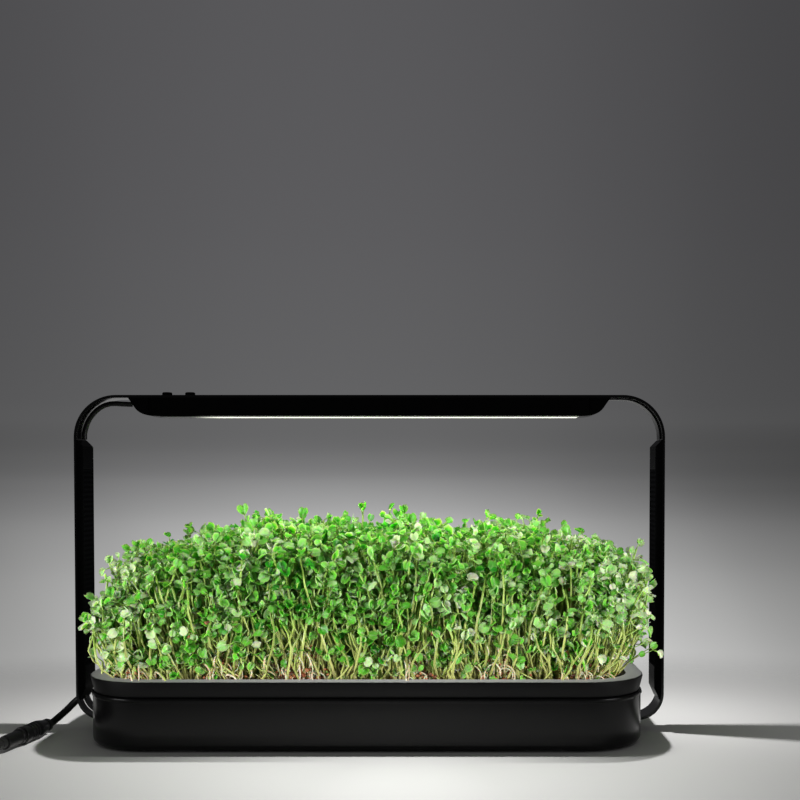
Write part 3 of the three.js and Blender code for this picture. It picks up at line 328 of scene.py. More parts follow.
def cord_curve(name, points, diameter, material):
    curve = bpy.data.curves.new(name, "CURVE")
    curve.dimensions = "3D"
    curve.bevel_depth = diameter / 2
    curve.bevel_resolution = 4
    curve.use_fill_caps = True
    spline = curve.splines.new("POLY")
    spline.points.add(len(points) - 1)
    for spot, place in zip(spline.points, points):
        spot.co = (*place, 1)
    spline.use_smooth = True
    curve.materials.append(material)
    return link(name, curve)


# Material helpers


def once(kind, name):
    """Mark a maker of a material or node group, so that it runs on its first call alone"""

    def mark(make):
        @functools.wraps(make)
        def found():
            return getattr(bpy.data, kind).get(name) or make(name)

        return found

    return mark


def set_inputs(tree, node, values):
    """Give each input its value, or a link where the value is another node's output"""
    for key, value in dict(values).items():
        if isinstance(value, bpy.types.NodeSocket):
            tree.links.new(value, node.inputs[key])
        else:
            node.inputs[key].default_value = value


def add_node(tree, kind, values=(), **choices):
    """A shader node with its choices made and its inputs set or linked"""
    made = tree.nodes.new(f"ShaderNode{kind}")
    for key, value in choices.items():
        setattr(made, key, value)
    set_inputs(tree, made, values)
    return made


def calculated(tree, operation, *values):
    return add_node(tree, "Math", enumerate(values), operation=operation).outputs[0]


def map_range(tree, value, given, wanted=(0, 1), shape="LINEAR"):
    """A value carried over from one range to another"""
    values = {"Value": value, "From Min": given[0], "From Max": given[1]}
    values.update({"To Min": wanted[0], "To Max": wanted[1]})
    return add_node(tree, "MapRange", values, interpolation_type=shape).outputs["Result"]


def mixed_colour(tree, share, first, second, blend="MIX"):
    values = {"Factor": share, "A": first, "B": second}
    return add_node(tree, "Mix", values, data_type="RGBA", blend_type=blend).outputs["Result"]


def colour_ramp(tree, share, stops, shape="LINEAR"):
    """Colours along a share from zero to one"""
    made = add_node(tree, "ValToRGB", {"Fac": share})
    ramp = made.color_ramp
    ramp.interpolation = shape
    while len(ramp.elements) < len(stops):
        ramp.elements.new(1.0)
    for element, (place, colour) in zip(ramp.elements, stops):
        element.position = place
        element.color = (*colour, 1)
    return made.outputs["Color"]


def object_place(tree, scale=(1, 1, 1)):
    """Object coordinates, scaled along each axis"""
    place = add_node(tree, "TexCoord").outputs["Object"]
    return add_node(tree, "Mapping", {"Vector": place, "Scale": scale}).outputs["Vector"]


def axes(tree, coordinates="Object"):
    """A place's coordinates X, Y and Z, each by itself"""
    place = add_node(tree, "TexCoord").outputs[coordinates]
    return add_node(tree, "SeparateXYZ", {"Vector": place}).outputs


def attribute(tree, name):
    return add_node(tree, "Attribute", attribute_name=name).outputs["Fac"]


def noise_at(tree, place, scale, detail, roughness=0.5, distortion=0.0):
    values = {"Vector": place, "Scale": scale, "Detail": detail}
    values.update({"Roughness": roughness, "Distortion": distortion})
    return add_node(tree, "TexNoise", values).outputs["Fac"]


def add_bump(tree, shader, height, strength, distance):
    bump = add_node(tree, "Bump", {"Height": height, "Strength": strength, "Distance": distance})
    set_inputs(tree, shader, {"Normal": bump.outputs["Normal"]})


def start_group(name, inputs, outputs):
    """A new node group with the sockets given by their names, and both its ends"""
    tree = bpy.data.node_groups.new(name, "ShaderNodeTree")
    for socket, default in inputs.items():
        kind = "NodeSocketColor" if isinstance(default, tuple) else "NodeSocketFloat"
        tree.interface.new_socket(name=socket, in_out="INPUT", socket_type=kind).default_value = default
    for socket, kind in outputs.items():
        tree.interface.new_socket(name=socket, in_out="OUTPUT", socket_type=kind)
    return tree, tree.nodes.new("NodeGroupInput").outputs, tree.nodes.new("NodeGroupOutput")


@once("node_groups", "Surface grain")
def surface_grain(name):
    """Group: the fine pebbled height of a moulded or coated surface"""
    sockets = {"Fineness": 2500.0, "Waviness": 0.2}
    tree, given, result = start_group(name, sockets, {"Height": "NodeSocketFloat"})
    place = object_place(tree)
    grain = noise_at(tree, place, given["Fineness"], 2.0, roughness=0.6)
    waves = noise_at(tree, place, 60.0, 1.0)
    set_inputs(tree, result, {"Height": calculated(tree, "MULTIPLY_ADD", waves, given["Waviness"], grain)})
    return tree


@once("node_groups", "Handled look")
def handled_look(name):
    """Group: a colour and roughness that drift a little, as on a handled surface"""
    sockets = {
        "Colour": (0.02, 0.02, 0.02, 1),
        "Dusty": (0.05, 0.05, 0.05, 1),
        "Gloss": 0.3,
        "Spread": 0.1,
        "Patches": 35.0,
    }
    tree, given, result = start_group(
        name, sockets, {"Colour": "NodeSocketColor", "Roughness": "NodeSocketFloat"}
    )
    patches = noise_at(tree, object_place(tree), given["Patches"], 4.0, roughness=0.65, distortion=0.4)
    clear = map_range(tree, patches, (0.35, 0.75))
    roughness = calculated(tree, "MULTIPLY_ADD", clear, given["Spread"], given["Gloss"])
    colour = mixed_colour(tree, clear, given["Colour"], given["Dusty"])
    set_inputs(tree, result, {"Colour": colour, "Roughness": roughness})
    return tree


def start_material(name, values):
    material = bpy.data.materials.new(name)
    material.use_nodes = True
    tree = material.node_tree
    shader = tree.nodes["Principled BSDF"]
    set_inputs(tree, shader, values)
    return material, tree, shader


GRAIN_DEPTH = 0.05 * MM
GRAIN_WAVINESS = 0.2
DUST = 1.35


def add_grain(tree, shader, fineness, strength):
    values = {"Fineness": fineness, "Waviness": GRAIN_WAVINESS}
    grain = add_node(tree, "Group", values, node_tree=surface_grain())
    add_bump(tree, shader, grain.outputs["Height"], strength, GRAIN_DEPTH)


def coated(
    name, colour, gloss, spread=0.08, patches=35.0, fineness=2500.0, grain=0.2, specular=0.5, metallic=0.0
):
    """A coated, moulded or glazed surface with fine grain and a drifting gloss"""
    material, tree, shader = start_material(name, {"Specular IOR Level": specular, "Metallic": metallic})
    values = {"Gloss": gloss, "Spread": spread, "Patches": patches}
    values.update({"Colour": (*colour, 1), "Dusty": (*[part * DUST for part in colour], 1)})
    look = add_node(tree, "Group", values, node_tree=handled_look())
    set_inputs(
        tree, shader, {"Base Color": look.outputs["Colour"], "Roughness": look.outputs["Roughness"]}
    )
    add_grain(tree, shader, fineness, grain)
    return material


# Finishes of the hard pieces

# Depth under the flange's top over which its painted highlight fades in
TRAY_RIM_DEPTH = 0.15 * MM
LENS_FADE = 12 * MM
LENS_GLOW = (2.5 * MM, 5.5 * MM)
LENS_RIM_GLOW = 0.03


@once("materials", "Black powder coat")
def powder_coat(name):
    strip = settings("finish").strip
    return coated(name, strip, 0.16, spread=0.04, fineness=1600.0, grain=0.15, specular=0.34)


@once("materials", "Satin bar plastic")
def bar_plastic(name):
    bars = settings("finish").bars
    return coated(name, bars, 0.15, spread=0.04, fineness=3000.0, grain=0.1, specular=0.001)


@once("materials", "Satin black glaze")
def bowl_glaze(name):
    bowl = settings("finish").bowl
    return coated(name, bowl, 0.22, spread=0.05, patches=18.0, fineness=900.0, grain=0.1, specular=0.2)


@once("materials", "Charcoal tray plastic")
def tray_plastic(name):
    """Tray plastic, paler on the flange's worn top"""
    finish = settings("finish")
    material = coated(
        name, finish.tray, 0.46, spread=0.1, patches=28.0, fineness=2600.0, grain=0.35, specular=0.19
    )
    tree = material.node_tree
    shader = tree.nodes["Principled BSDF"]
    covered = shader.inputs["Base Color"].links[0].from_socket
    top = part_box("seed_tray")[1][2]
    # Painted highlight: the flat top of the flange takes the paler rim colour, for the light that catches
    # it
    flange_top_highlight = map_range(tree, axes(tree)["Z"], (top - TRAY_RIM_DEPTH, top - TRAY_RIM_DEPTH / 2))
    set_inputs(tree, shader, {"Base Color": mixed_colour(tree, flange_top_highlight, covered, (*finish.tray_rim_highlight, 1))})
    return material


@once("materials", "Matte rubber")
def rubber(name):
    return coated(name, (0.012, 0.012, 0.012), 0.62, fineness=3500.0, grain=0.3)


@once("materials", "Cable jacket")
def cable_jacket(name):
    return coated(
        name, (0.006, 0.006, 0.0062), 0.36, patches=60.0, fineness=2200.0, grain=0.18, specular=0.3
    )


@once("materials", "Connector plastic")
def connector_plastic(name):
    return coated(
        name, (0.006, 0.006, 0.0062), 0.34, patches=80.0, fineness=2800.0, grain=0.15, specular=0.3
    )


@once("materials", "Adapter plastic")
def adapter_plastic(name):
    return coated(name, (0.013, 0.013, 0.014), 0.4, fineness=1500.0, grain=0.5)


@once("materials", "Bright steel")
def bright_steel(name):
    return coated(name, (0.56, 0.56, 0.57), 0.22, patches=120.0, fineness=5000.0, grain=0.08, metallic=1.0)


@once("materials", "Smoked lens")
def side_lens(name):
    """Smoked lens of an unlit side bar, with faint ribs across it"""
    material, tree, shader = start_material(name, {"Roughness": 0.2, "Specular IOR Level": 0.0})
    values = {"Vector": object_place(tree), "Scale": 90.0, "Distortion": 0.0}
    ribs = add_node(tree, "TexWave", values, wave_type="BANDS", bands_direction="Z").outputs["Fac"]
    colour = colour_ramp(tree, ribs, [(0.0, (0.001, 0.001, 0.0011)), (1.0, (0.002, 0.002, 0.0022))])
    set_inputs(tree, shader, {"Base Color": colour})
    add_bump(tree, shader, ribs, 0.15, 0.1 * MM)
    return material


@once("materials", "Lit opal lens")
def lit_lens(name):
    """Opal lens of the top bar: bright under its row of chips, dark over the controls at the left"""
    finish = settings("finish")
    material, tree, shader = start_material(
        name, {"Roughness": 0.4, "Emission Strength": finish.lens_strength}
    )
    board_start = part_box("top_led_board")[0][0]
    place = axes(tree)
    lit = map_range(
        tree, place["X"], (board_start - LENS_FADE, board_start + LENS_FADE), shape="SMOOTHSTEP"
    )
    off_middle = calculated(tree, "ABSOLUTE", place["Y"])
    across = map_range(tree, off_middle, LENS_GLOW, (1.0, LENS_RIM_GLOW), "SMOOTHSTEP")
    glow = calculated(tree, "MULTIPLY", lit, across)
    light = colour_ramp(tree, glow, [(0.0, (0.0, 0.0, 0.0)), (1.0, finish.lens_light)])
    body = colour_ramp(tree, lit, [(0.0, (0.012, 0.012, 0.012)), (1.0, (0.8, 0.78, 0.74))])
    set_inputs(tree, shader, {"Emission Color": light, "Base Color": body})
    add_grain(tree, shader, 1200.0, 0.1)
    return material


@once("materials", "Board mask")
def board_mask(name):
    """Green mask of the boards, paler along its tracks"""
    material, tree, shader = start_material(name, {"Roughness": 0.35})
    values = {"Vector": object_place(tree), "Scale": 160.0}
    tracks = add_node(tree, "TexVoronoi", values, distance="MANHATTAN").outputs["Distance"]
    colour = colour_ramp(
        tree, tracks, [(0.0, (0.02, 0.09, 0.045)), (0.55, (0.025, 0.12, 0.06)), (0.75, (0.06, 0.2, 0.11))]
    )
    set_inputs(tree, shader, {"Base Color": colour})
    return material


@once("materials", "Switch plastic")
def switch_plastic(name):
    return coated(name, (0.02, 0.02, 0.021), 0.45)


@once("materials", "Plunger plastic")
def plunger_plastic(name):
    return coated(name, (0.3, 0.3, 0.31), 0.4)


# Finishes of the crop

LEAF_MOTTLE = 0.24


@once("materials", "Seed leaf")
def leaf_finish(name):
    """Leaf green by each sprout's tone, paler along the midrib"""
    crop = settings("crop")
    values = {"Roughness": 0.38, "Specular IOR Level": 0.25, "Subsurface Weight": 0.7}
    values.update({"Subsurface Radius": (0.35, 1.0, 0.14), "Subsurface Scale": 2.2 * MM})
    material, tree, shader = start_material(name, values)
    mottle = noise_at(tree, object_place(tree), 420.0, 3.0)
    drift = calculated(tree, "MULTIPLY_ADD", mottle, LEAF_MOTTLE, -LEAF_MOTTLE / 2)
    tone = calculated(tree, "ADD", drift, attribute(tree, "tone"))
    dark, middle, pale = (Vector(colour) for colour in (crop.dark_leaf, crop.leaf, crop.pale_leaf))
    blade = colour_ramp(
        tree, tone,
        [
            (0.0, dark),
            (0.22, dark.lerp(middle, 0.5)),
            (0.45, middle),
            (0.7, middle.lerp(pale, 0.35)),
            (0.88, middle.lerp(pale, 0.7)),
            (1.0, pale),
        ],
    )
    vein = map_range(tree, attribute(tree, "reach"), (0.55, 1.0), (0, 0.5))
    colour = mixed_colour(tree, vein, blade, (*middle.lerp(pale, 0.75), 1))
    set_inputs(tree, shader, {"Base Color": colour})
    add_bump(tree, shader, mottle, 0.25, 0.15 * MM)
    return material


@once("materials", "Stem")
def stem_finish(name):
    """Stems: whitish at the foot, yellow-green towards the leaves"""
    crop = settings("crop")
    values = {"Roughness": 0.38, "Subsurface Weight": 0.4}
    values.update({"Subsurface Radius": (0.8, 1.0, 0.4), "Subsurface Scale": 1.5 * MM})
    material, tree, shader = start_material(name, values)
    green = Vector(crop.stem)
    rise = colour_ramp(
        tree, attribute(tree, "reach"),
        [
            (0.0, (0.5, 0.45, 0.2)),
            (0.25, (0.44, 0.45, 0.15)),
            (0.7, green),
            (1.0, green.lerp(Vector(crop.leaf), 0.45)),
        ],
    )
    shade = map_range(tree, attribute(tree, "tone"), (0, 1), (0.6, 1.1))
    set_inputs(tree, shader, {"Base Color": mixed_colour(tree, 1.0, rise, shade, "MULTIPLY")})
    return material


@once("materials", "Seed hull")
def hull_finish(name):
    material, tree, shader = start_material(name, {"Roughness": 0.5})
    red = Vector(settings("crop").hull)
    stops = [(0.0, red * 0.25), (0.5, red), (0.85, red.lerp(Vector((0.5, 0.25, 0.1)), 0.5))]
    set_inputs(tree, shader, {"Base Color": colour_ramp(tree, attribute(tree, "tone"), stops)})
    add_grain(tree, shader, 1800.0, 0.5)
    return material


@once("materials", "Root")
def root_finish(name):
    values = {"Roughness": 0.5, "Subsurface Weight": 0.4, "Subsurface Scale": 1.0 * MM}
    material, tree, shader = start_material(name, values)
    stops = [(0.0, (0.32, 0.29, 0.15)), (0.5, (0.5, 0.47, 0.3)), (1.0, (0.62, 0.59, 0.44))]
    set_inputs(tree, shader, {"Base Color": colour_ramp(tree, attribute(tree, "tone"), stops)})
    return material


@once("materials", "Mat fibre")
def fibre_finish(name):
    """Damp fibre of the growing mat: long brown strands over each other"""
    material, tree, shader = start_material(name, {"Roughness": 0.85, "Sheen Weight": 0.3})
    along = noise_at(tree, object_place(tree, (1, 7, 7)), 160.0, 5.0, distortion=1.2)
    across = noise_at(tree, object_place(tree, (7, 1, 7)), 140.0, 5.0, distortion=1.2)
    strands = calculated(tree, "MAXIMUM", along, across)
    stops = [(0.3, (0.05, 0.032, 0.018)), (0.6, (0.17, 0.115, 0.06)), (0.8, (0.36, 0.28, 0.17))]
    set_inputs(tree, shader, {"Base Color": colour_ramp(tree, strands, stops)})
    add_bump(tree, shader, strands, 0.8, 0.5 * MM)
    return material


# Cords: their routes repeat those of the solids, in millimetres

LEAD_DIAMETER = 5.0
LEAD_ROUTE = [
    (-207, 0, 24.6),
    (-210.5, 0, 22.2),
    (-214.4, -0.2, 19),
    (-219, -2, 14.2),
    (-222.9, -5.2, 10.3),
    (-225.8, -9, 7.6),
    (-227.2, -13, 6.3),
    (-227.8, -16.9, 6.2),
]
SOCKET_REAR = Vector((-227.85, -17.2, 6.25))
SOCKET_FRONT = Vector((-233.7, -52.0, 6.25))
CONNECTOR_LENGTH = 69.9
ADAPTER_ROUTE = [
    (-240.25, -90.8, 6.2),
    (-241.8, -97, 5),
    (-245.2, -102.4, 4),
    (-250.5, -106.6, 3.4),
    (-257.5, -109.2, 3.2),
    (-266, -110, 3.4),
    (-284, -110, 3.6),
]
COIL_CENTRE = Vector((-294.0, -71.6))
COIL_LOW = 3.6
COIL_OUTER = 38.4
COIL_PITCH = 5.45
COIL_TURNS_IN = 4
COIL_TURNS_OUT = 3.75
COIL_STEPS = 24
CLIMB_BOW = 0.12
TAIL_ROUTE = [
    (-331.04, -61.6, 9.05),
    (-331.04, -56.5, 8),
    (-331, -50, 6.4),
    (-331, -43, 4),
    (-331, -36, 4.4),
    (-331, -29.6, 6),
    (-331, -24.6, 6),
]


def as_places(route):
    return [Vector(point) for point in route]


def route_length(points):
    return sum((after - before).length for before, after in zip(points, points[1:]))


def coil_point(turns):
    """A place on the coil: inwards, up one layer in half a turn, and outwards again"""
    climb = min(max((turns - COIL_TURNS_IN) * 2, 0), 1)
    outward = max(turns - COIL_TURNS_IN - 0.5, 0)
    inward = min(turns, COIL_TURNS_IN)
    bow = CLIMB_BOW * COIL_PITCH * math.sin(climb * math.pi)
    radius = COIL_OUTER + (outward - inward) * COIL_PITCH - bow
    angle = turns * TAU
    return Vector(
        (
            COIL_CENTRE.x - radius * math.sin(angle),
            COIL_CENTRE.y - radius * math.cos(angle),
            COIL_LOW + climb * COIL_PITCH,
        )
    )


def adapter_cord_places():
    heading = (SOCKET_FRONT - SOCKET_REAR).normalized()
    start = SOCKET_REAR + heading * CONNECTOR_LENGTH
    approach = smooth_route([start, *as_places(ADAPTER_ROUTE)], 3)
    total = COIL_TURNS_IN + 0.5 + COIL_TURNS_OUT
    count = round(total * COIL_STEPS)
    loops = [coil_point(total * step / count) for step in range(count + 1)]
    tail = smooth_route(as_places(TAIL_ROUTE), 3)
    return approach + loops + tail


class GROWKIT_OT_camera(bpy.types.Operator):
    """Set the camera at the photograph's place and lens"""

    bl_idname = "growkit.camera"
    bl_label = "Camera"

    def execute(self, context):
        data = bpy.data.cameras.new("Photo camera")
        camera = link("Photo camera", data)
        camera.location = CAMERA_PLACE
        camera.rotation_euler = (math.pi / 2 - CAMERA_PITCH, 0, 0)
        data.lens = CAMERA_LENS
        data.sensor_width = 36
        data.shift_x, data.shift_y = CAMERA_SHIFT
        data.clip_start = 0.01
        data.clip_end = 50
        context.scene.camera = camera
        return {"FINISHED"}


class GROWKIT_OT_cords(bpy.types.Operator):
    """Lay the power lead, its connector and the adapter's coiled lead"""

    bl_idname = "growkit.cords"
    bl_label = "Cords"

    def execute(self, context):
        jacket = cable_jacket()
        edge = settings("finish").edge
        connector = [shaped_copy(node, connector_plastic(), edge) for node in ("dc_socket", "dc_plug")]
        connector.append(shaped_copy("plug_relief", rubber(), edge / 2))
        lead_places = smooth_route(as_places(LEAD_ROUTE), 3)
        lead = cord_curve(
            "dc_lead_cord", [place * MM for place in lead_places], LEAD_DIAMETER * MM, jacket
        )
        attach(lead, "frame")
        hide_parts("dc_lead")
        route_length(lead_places) * MM

        ends = [shaped_copy(node, rubber(), edge / 2) for node in ("coil_tie", "adapter_relief")]
        ends += [shaped_copy(node, adapter_plastic(), edge) for node in ("adapter_body", "adapter_cover")]
        ends += [shaped_copy(node, bright_steel(), edge) for node in ("adapter_pin_1", "adapter_pin_2")]
        places = adapter_cord_places()
        cord = cord_curve("adapter_cord", [place * MM for place in places], LEAD_DIAMETER * MM, jacket)
        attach(cord, "frame")
        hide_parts("adapter_lead", "adapter_coil", "adapter_tail")
        route_length(places) * MM
        return {"FINISHED"}


class GROWKIT_OT_strip(bpy.types.Operator):
    """Finish the bent strip, its foot bars and its screws"""

    bl_idname = "growkit.strip"
    bl_label = "Strip"

    def execute(self, context):
        edge = settings("finish").edge
        shaped_copy("frame_strip", powder_coat(), edge)
        for side in SIDES:
            shaped_copy(f"foot_{side}", rubber(), edge)
            screws = (f"foot_screw_{side}", f"top_screw_{side}", f"{side}_screw_low", f"{side}_screw_high")
            for screw in screws:
                shaped_copy(screw, bright_steel(), SMALL_EDGE)
        return {"FINISHED"}


class GROWKIT_OT_light_bars(bpy.types.Operator):
    """Finish the three light bars, their lenses, boards and links"""

    bl_idname = "growkit.light_bars"
    bl_label = "Light bars"

    def execute(self, context):
        edge = settings("finish").edge
        for node in ("top_housing", "top_end_cap_left", "top_end_cap_right"):
            shaped_copy(node, bar_plastic(), edge)
        shaped_copy("top_diffuser", lit_lens(), edge)
        keep_node("top_led_board", board_mask())
        for side in SIDES:
            for piece in ("housing", "end_cap_low", "end_cap_high"):
                shaped_copy(f"{side}_{piece}", bar_plastic(), edge)
            shaped_copy(f"{side}_diffuser", side_lens(), LENS_EDGE)
            keep_node(f"{side}_led_board", board_mask())
        shaped_copy("link_cable_left", cable_jacket(), 0)
        shaped_copy("link_ribbon_right", cable_jacket(), SMALL_EDGE)
        return {"FINISHED"}


class GROWKIT_OT_controls(bpy.types.Operator):
    """Finish the two push buttons and what lies under them"""

    bl_idname = "growkit.controls"
    bl_label = "Controls"

    def execute(self, context):
        edge = settings("finish").edge
        for name in ("power", "timer"):
            shaped_copy(f"{name}_button", bar_plastic(), edge)
            keep_node(f"{name}_plunger", plunger_plastic())
            keep_node(f"{name}_switch", switch_plastic())
        keep_node("control_board", board_mask())
        return {"FINISHED"}


class GROWKIT_OT_bowl(bpy.types.Operator):
    """Finish the bowl and its pads"""

    bl_idname = "growkit.bowl"
    bl_label = "Bowl"

    def execute(self, context):
        edge = settings("finish").edge
        shaped_copy("bowl", bowl_glaze(), edge)
        for row in ("front", "back"):
            for side in SIDES:
                shaped_copy(f"bowl_pad_{row}_{side}", rubber(), PAD_EDGE)
        return {"FINISHED"}


class GROWKIT_OT_tray(bpy.types.Operator):
    """Finish the seed tray"""

    bl_idname = "growkit.tray"
    bl_label = "Tray"

    def execute(self, context):
        shaped_copy("seed_tray", tray_plastic(), settings("finish").edge)
        return {"FINISHED"}


# The growing mat and what lies on it

MAT_CORNER = 24 * MM
MAT_STEP = 5 * MM
MAT_RIM = 1.4 * MM
MAT_UNEVENNESS = 0.6 * MM
MAT_SMOOTH_RIM = 2 * MM
MAT_WAVE = 90


def inside_mat(place, box):
    """How far a place is inside the mat's rounded outline, in metres"""
    middle = (box[0] + box[1]) / 2
    half = (box[1] - box[0]) / 2
    across = abs(place.x - middle.x) - (half.x - MAT_CORNER)
    deep = abs(place.y - middle.y) - (half.y - MAT_CORNER)
    outside = math.hypot(max(across, 0), max(deep, 0)) + min(max(across, deep), 0)
    return MAT_CORNER - outside


def edge_rise(edge):
    return abs(edge.verts[0].co.z - edge.verts[1].co.z)


class GROWKIT_OT_growing_mat(bpy.types.Operator):
    """Make the fibre mat that the crop is rooted in"""

    bl_idname = "growkit.growing_mat"
    bl_label = "Growing mat"

    def execute(self, context):
        low, high = (Vector(corner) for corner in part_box("grow_pad"))
        size = high - low
        bm = bmesh.new()
        bmesh.ops.create_cube(bm, size=1.0)
        bmesh.ops.scale(bm, vec=size, verts=bm.verts)
        bmesh.ops.translate(bm, vec=(low + high) / 2, verts=bm.verts)
        upright = [edge for edge in bm.edges if edge_rise(edge) > size.z / 2]
        bmesh.ops.bevel(
            bm, geom=upright, offset=MAT_CORNER, offset_type="OFFSET", affect="EDGES", segments=8,
            profile=0.5, material=-1,
        )
        rims = [edge for edge in bm.edges if edge_rise(edge) < size.z / 2]
        bmesh.ops.bevel(
            bm, geom=rims, offset=MAT_RIM, offset_type="OFFSET", affect="EDGES", segments=2,
            profile=0.5, material=-1,
        )
        top = high.z - MERGE_DISTANCE
        for axis, start, end in ((0, low.x, high.x), (1, low.y, high.y)):
            cuts = int((end - start) / MAT_STEP)
            for cut in range(1, cuts):
                normal = Matrix.Identity(3)[axis]
                place = normal * (start + (end - start) * cut / cuts)
                faces = [face for face in bm.faces if face.calc_center_median().z > top]
                edges = dict.fromkeys(edge for face in faces for edge in face.edges)
                verts = dict.fromkeys(vert for face in faces for vert in face.verts)
                bmesh.ops.bisect_plane(
                    bm, geom=[*faces, *edges, *verts], dist=MERGE_DISTANCE, plane_co=place, plane_no=normal
                )
        for vert in bm.verts:
            if vert.co.z > top and inside_mat(vert.co, (low, high)) > MAT_SMOOTH_RIM:
                vert.co.z -= MAT_UNEVENNESS * (1 + noise.noise(vert.co * MAT_WAVE))
        smooth_by_angle(bm, math.radians(50))
        mat = link("growing_mat", mesh_from(bm, "growing_mat"))
        mat.data.materials.append(fibre_finish())
        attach(mat, "tray")
        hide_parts("grow_pad")
        return {"FINISHED"}


# The crop

STEM_LENGTH = 100 * MM
STEM_KINDS = 12
STEM_STEPS = 5
STEM_TAPER = 0.3
STEM_SEED = 100
HEAD_KINDS = 24
HEAD_SEED = 200
CURL_KINDS = 6
CURL_STEPS = 8
CURL_SEED = 300
CROP_SEED = 41
STALK_RADII = (0.5 * MM, 0.4 * MM)
HULL_RADIUS = 1.45 * MM
HULL_SHAPE = (1.0, 0.8, 0.7)
BED_INSET = 5 * MM
RIM_BAND = 15 * MM
LEAF_THICKNESS = 0.35 * MM
LEAF_RIM_ANGLE = math.radians(60)
BAR_CLEARANCE = 2.5 * MM
LEFT_GAP = 15 * MM
SPRIG_RISES = {-93 * MM: 6 * MM, -17 * MM: 5 * MM, 3 * MM: 15 * MM, 119 * MM: 15 * MM, 155 * MM: 8 * MM}
STRAYS_PER_END = 12
STRAYS_ON_TOP = 46
LOW_LEAVES = 340
ROOTS = 640
CLUSTER_PLACES = (-157 * MM, -96 * MM, -52 * MM, -38 * MM, 34 * MM, 92 * MM, 148 * MM, 160 * MM)
CLUSTER_SIZE = 8 * MM
CLUSTER_LIFT = 6 * MM
CLUSTER_RISE = 22 * MM
CLUSTER_REACH = 5 * MM
LEFT_SLOPE = 0.12
LEFT_SHOULDER = 0.2
LEFT_BRINK = 0.2
RIGHT_SLOPE = 0.1
RIGHT_SHOULDER = 0.17
BACK_DROP = 0.04
CLUMP_SIZE = 45 * MM
CLUMP_RISE = 6 * MM
TUFT_SIZE = 14 * MM
TUFT_RISE = 4 * MM
BAR_HALF_DEPTH = 24 * MM
BAR_ROOM = 9 * MM
END_CHANCE = 0.25
FRONT_CHANCE = 0.8
END_BAND = 1.7
PALE_CHANCE = 0.2
DARK_CHANCE = 0.16
TONE_STEP = 0.3
TALL_CHANCE = 0.75
HIGH_RIM_CHANCE = 0.62
HEAD_SIZES = (0.66, 1.2)
HULL_SIZES = (0.7, 1.25)
ROOT_SIZES = (0.45, 1.0)
STRAY_REACH = 30 * MM
LITTER_RISE = 14 * MM


class Planting:
    """Copies of template meshes gathered in order into one mesh, with their tones"""

    def __init__(self):
        self.bm = bmesh.new()
        self.tones = []
        self.reaches = []

    def add(self, template, matrix, tone):
        copy = template.copy()
        copy.transform(matrix)
        self.bm.from_mesh(copy)
        count = len(copy.vertices)
        reach = np.empty(count, dtype=np.float32)
        copy.attributes["reach"].data.foreach_get("value", reach)
        self.reaches.append(reach)
        self.tones.append(np.full(count, tone, dtype=np.float32))
        bpy.data.meshes.remove(copy)

    def finish(self, name, materials):
        mesh = mesh_from(self.bm, name)
        for label, parts in (("tone", self.tones), ("reach", self.reaches)):
            existing = mesh.attributes.get(label)
            if existing:
                mesh.attributes.remove(existing)
            layer = mesh.attributes.new(label, "FLOAT", "POINT")
            layer.data.foreach_set("value", np.concatenate(parts))
        for material in materials:
            mesh.materials.append(material)
        for polygon in mesh.polygons:
            polygon.use_smooth = True
        return link(name, mesh)


def template_mesh(bm, name):
    mesh = mesh_from(bm, name)
    mesh.materials.append(None)
    mesh.materials.append(None)
    return mesh


def stem_template(kind, crop):
    """A three-sided stem that rises from its foot, bowed one way"""
    rng = random.Random(STEM_SEED + kind)
    bm = bmesh.new()
    reach = bm.verts.layers.float.new("reach")
    bow = rng.gauss(0, 8) * MM
    sway = rng.gauss(0, 4) * MM
    shares = [step / STEM_STEPS for step in range(STEM_STEPS + 1)]
    points = [
        Vector((bow * math.sin(math.pi * share), sway * math.sin(TAU * share), STEM_LENGTH * share))
        for share in shares
    ]
    foot = crop.stem_diameter / 2
    radii = [foot * (1 - STEM_TAPER * step / STEM_STEPS) for step in range(STEM_STEPS + 1)]
    sweep(bm, points, radii, 3)
    for vert in bm.verts:
        vert[reach] = min(max(vert.co.z / STEM_LENGTH, 0), 1)
    for face in bm.faces:
        face.material_index = 1
    return template_mesh(bm, f"stem_{kind}")


def add_leaf(bm, reach, matrix, length, width, cup, curl, rng):
    """A thin closed heart-shaped leaf from its stalk along X, a little crumpled"""
    made = []
    crumple = [rng.gauss(0, 0.035) * length for _ in range(3)]
    for side in (1, -1):
        grid = bmesh.ops.create_grid(bm, x_segments=3, y_segments=4, size=1.0)
        for vert in grid["verts"]:
            along = (vert.co.x + 1) / 2
            across = vert.co.y
            rounding = 0.2 * abs(across) ** 3 * along + 0.16 * max(1 - 2 * abs(across), 0) * along**3
            spread = math.sin(math.pi * (0.1 + 0.62 * along)) ** 0.8
            rim = abs(across) > 0.99 or along < 0.01 or along > 0.99
            thick = 0 if rim else side * LEAF_THICKNESS / 2
            rise = cup * width * (across**2) - curl * length * along**2
            rise += crumple[0] * math.sin(across * 5 + along * 3) + crumple[1] * across * along
            rise += crumple[2] * math.cos(along * 6 - across * 2)
            vert.co = Vector((length * (along - rounding), 0.5 * width * across * spread, rise + thick))
            vert[reach] = (1 - abs(across)) * (1 - 0.5 * along)
        if side < 0:
            faces = {face for vert in grid["verts"] for face in vert.link_faces}
            bmesh.ops.reverse_faces(bm, faces=list(faces))
        made += grid["verts"]
    bmesh.ops.transform(bm, matrix=matrix, verts=made)
    bmesh.ops.remove_doubles(bm, verts=made, dist=MERGE_DISTANCE)
    for edge in {edge for vert in made if vert.is_valid for edge in vert.link_edges}:
        edge.smooth = edge.calc_face_angle(math.pi) < LEAF_RIM_ANGLE


